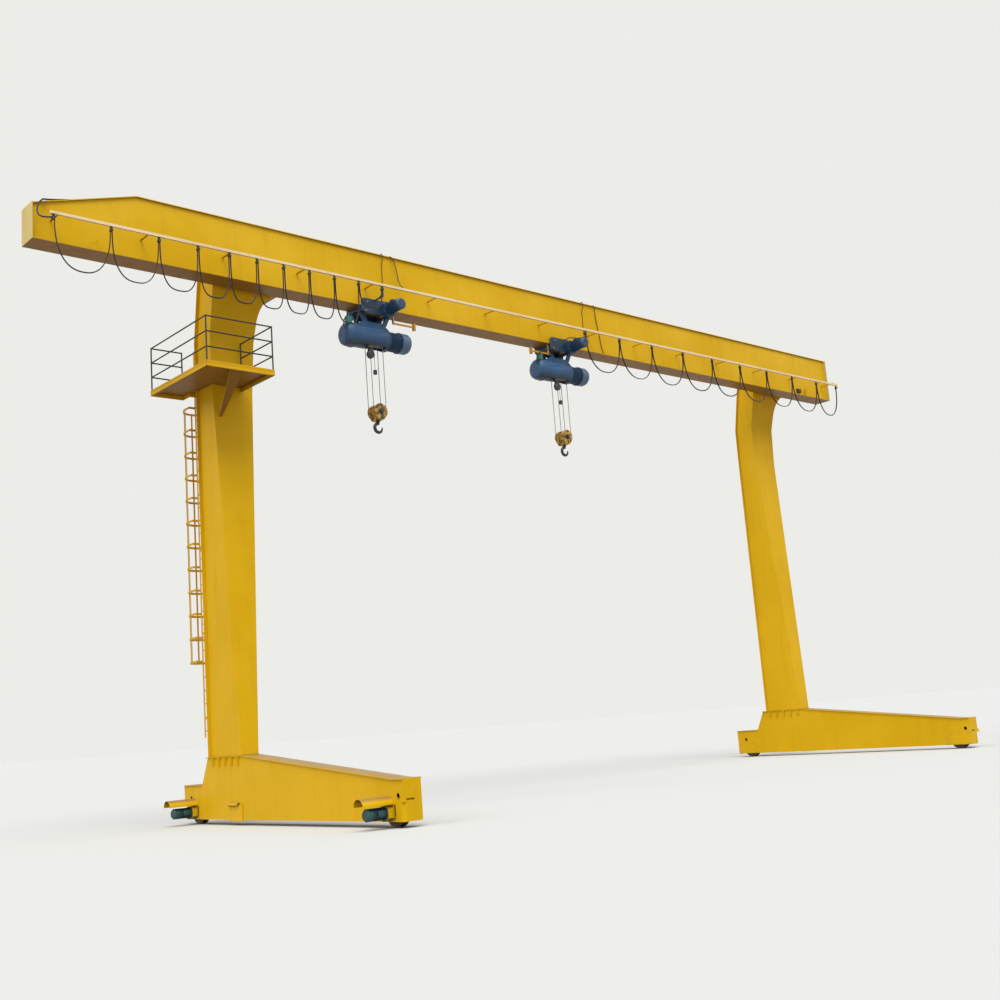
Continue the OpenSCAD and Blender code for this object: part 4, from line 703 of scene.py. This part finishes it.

# Ropes: steel wire rope, six strands laid round each other, in four falls between drum and block.
# The turns on the drum show through its slot.
# Greased wire: grey brown, with the lay of the strands as fine slanting lines
rope_steel = coat("rope_steel", "6A655C", "7C766A", "3A342C", streak=(30.0, 30.0, 30.0), rough=0.5, grain=200.0,
                  dirt=0.7)
crest, hollow, turns, turn_parts, fall_parts = 0.0088, 0.0066, 26, 24, 150
wound_radius, wound_from, wound_length = 0.1995, -0.22, 0.52
block_x, axle = 0.04, flange_z - 2.615
for k, at, _ in hoists:
    body, block_body = f"hoist_{k}", f"hook_block_{k}"
    finish_nodes([f"ropes_{k}"], dark_steel)
    rope = bmesh.new()
    path = []
    for s in range(turns * turn_parts + 1):
        a = 2 * math.pi * s / turn_parts
        path.append((at + wound_from + wound_length * s / (turns * turn_parts), track_y + wound_radius * math.cos(a),
                     drum_z + wound_radius * math.sin(a)))
    sweep(rope, path, crest, 6)
    settle(f"wound_rope_{k}", rope, rope_steel, body)
    for sx in (-1, 1):
        for sy in (-1, 1):
            mesh = bmesh.new()
            x, y = at + block_x + sx * 0.189, track_y + sy * 0.11
            # One fall ends at its anchor below the housing, and the others go up to the drum
            low, high = axle - 0.03, 10.826 if sx + sy == -2 else 11.235
            rings = []
            for i in range(fall_parts + 1):
                z = low + (high - low) * i / fall_parts
                twist = 2 * math.pi * i / 12
                rings.append([mesh.verts.new((x + r * math.cos(a + twist), y + r * math.sin(a + twist), z))
                              for a, r in ((2 * math.pi * j / 12, crest if j % 2 else hollow) for j in range(12))])
            for under, over in zip(rings, rings[1:]):
                for j in range(12):
                    mesh.faces.new((under[j], under[(j + 1) % 12], over[(j + 1) % 12], over[j]))
            mesh.faces.new(rings[0][::-1])
            mesh.faces.new(rings[-1])
            fall = settle(f"rope_fall_{k}_{sx + 2}{sy + 2}", mesh, rope_steel, None)
            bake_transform(fall)
    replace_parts(fall, f"ropes_{k}")


# Hook blocks: two sheaves between pressed steel guards, held by one axle with a nut at each end.
# Bolts through the rim join the guards round the sheaves.
def grease(material, colour, scale, amount):
    """Smear old grease over a coat in patches of about the noise's scale."""
    tree = material.node_tree
    place = add(tree, "ShaderNodeTexCoord")
    smear = add(tree, "ShaderNodeTexNoise", {"Scale": scale, "Detail": 3.0, "Distortion": 0.6},
                {"Vector": (place, "Object")})
    there = add(tree, "ShaderNodeMapRange", {1: 0.47, 2: 0.58, 3: 0.0, 4: amount}, {0: (smear, "Fac")})
    return paint_over(material, there, colour)


# Yellow enamel under black grease thrown off the rope, so the block is mottled
block_enamel = coat("block_enamel", "B08A2C", "C09C40", "3C3022", streak=(14.0, 14.0, 8.0), rough=0.5, grain=90.0,
                    dirt=0.9)
grease(block_enamel, "1C1812", 11.0, 0.85)
for k, at, _ in hoists:
    finish_nodes([f"hook_block_{k}"], block_enamel)
    mesh = bmesh.new()
    for side in (-1, 1):
        face = track_y + side * 0.155
        disc(mesh, (at + block_x, track_y + side * 0.19, axle), (0, side, 0), 0.044, 0.018, 6)
        disc(mesh, (at + block_x, face, axle), (0, side, 0), 0.07, 0.012, 32)
        for a in (math.radians(degrees) for degrees in (30, 90, 150, 210, 270, 330)):
            bolt(mesh, (at + block_x + 0.165 * math.cos(a), face, axle + 0.165 * math.sin(a)), (0, side, 0), 0.010)
    settle(f"hook_block_bolts_{k}", mesh, dark_steel, f"hook_block_{k}")

# Hooks: forgings whose bowl swells at its back and tapers to a blunt tip.
# The shank turns in the block's crosshead and is held there by a nut.
bowl_radius, bowl_thick, shank_radius, bowl_parts = 0.111, 0.0408, 0.0335, 56
for k, at, _ in hoists:
    finish_nodes([f"hook_{k}"], dark_steel)
    mesh = bmesh.new()
    centre = Vector((at + block_x, track_y, axle - 0.40))
    path, sizes = [], []
    for i in range(bowl_parts + 1):
        degrees = 80 + 292 * i / bowl_parts
        out = Vector((math.cos(math.radians(degrees)), 0, math.sin(math.radians(degrees))))
        path.append(centre + out * bowl_radius)
        tip = 0.66 * (max(0.0, degrees - 240) / 132) ** 1.6
        sizes.append(bowl_thick * (1 - tip - max(0.0, (96 - degrees) / 100)))
    sweep(mesh, path, sizes, 24)
    disc(mesh, centre + Vector((0, 0, 0.100)), (0, 0, 1), shank_radius, 0.11, 32)
    disc(mesh, centre + Vector((0, 0, 0.153)), (0, 0, 1), 0.052, 0.0317, 6)
    disc(mesh, (at + block_x, track_y, axle - 0.1097), (0, 0, 1), 0.052, 0.026, 6)
    disc(mesh, (at + block_x, track_y, axle - 0.20), (0, 0, 1), shank_radius, 0.09, 24)
    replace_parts(settle(f"forged_hook_{k}", mesh, hook_steel, f"hook_{k}"), f"hook_{k}")
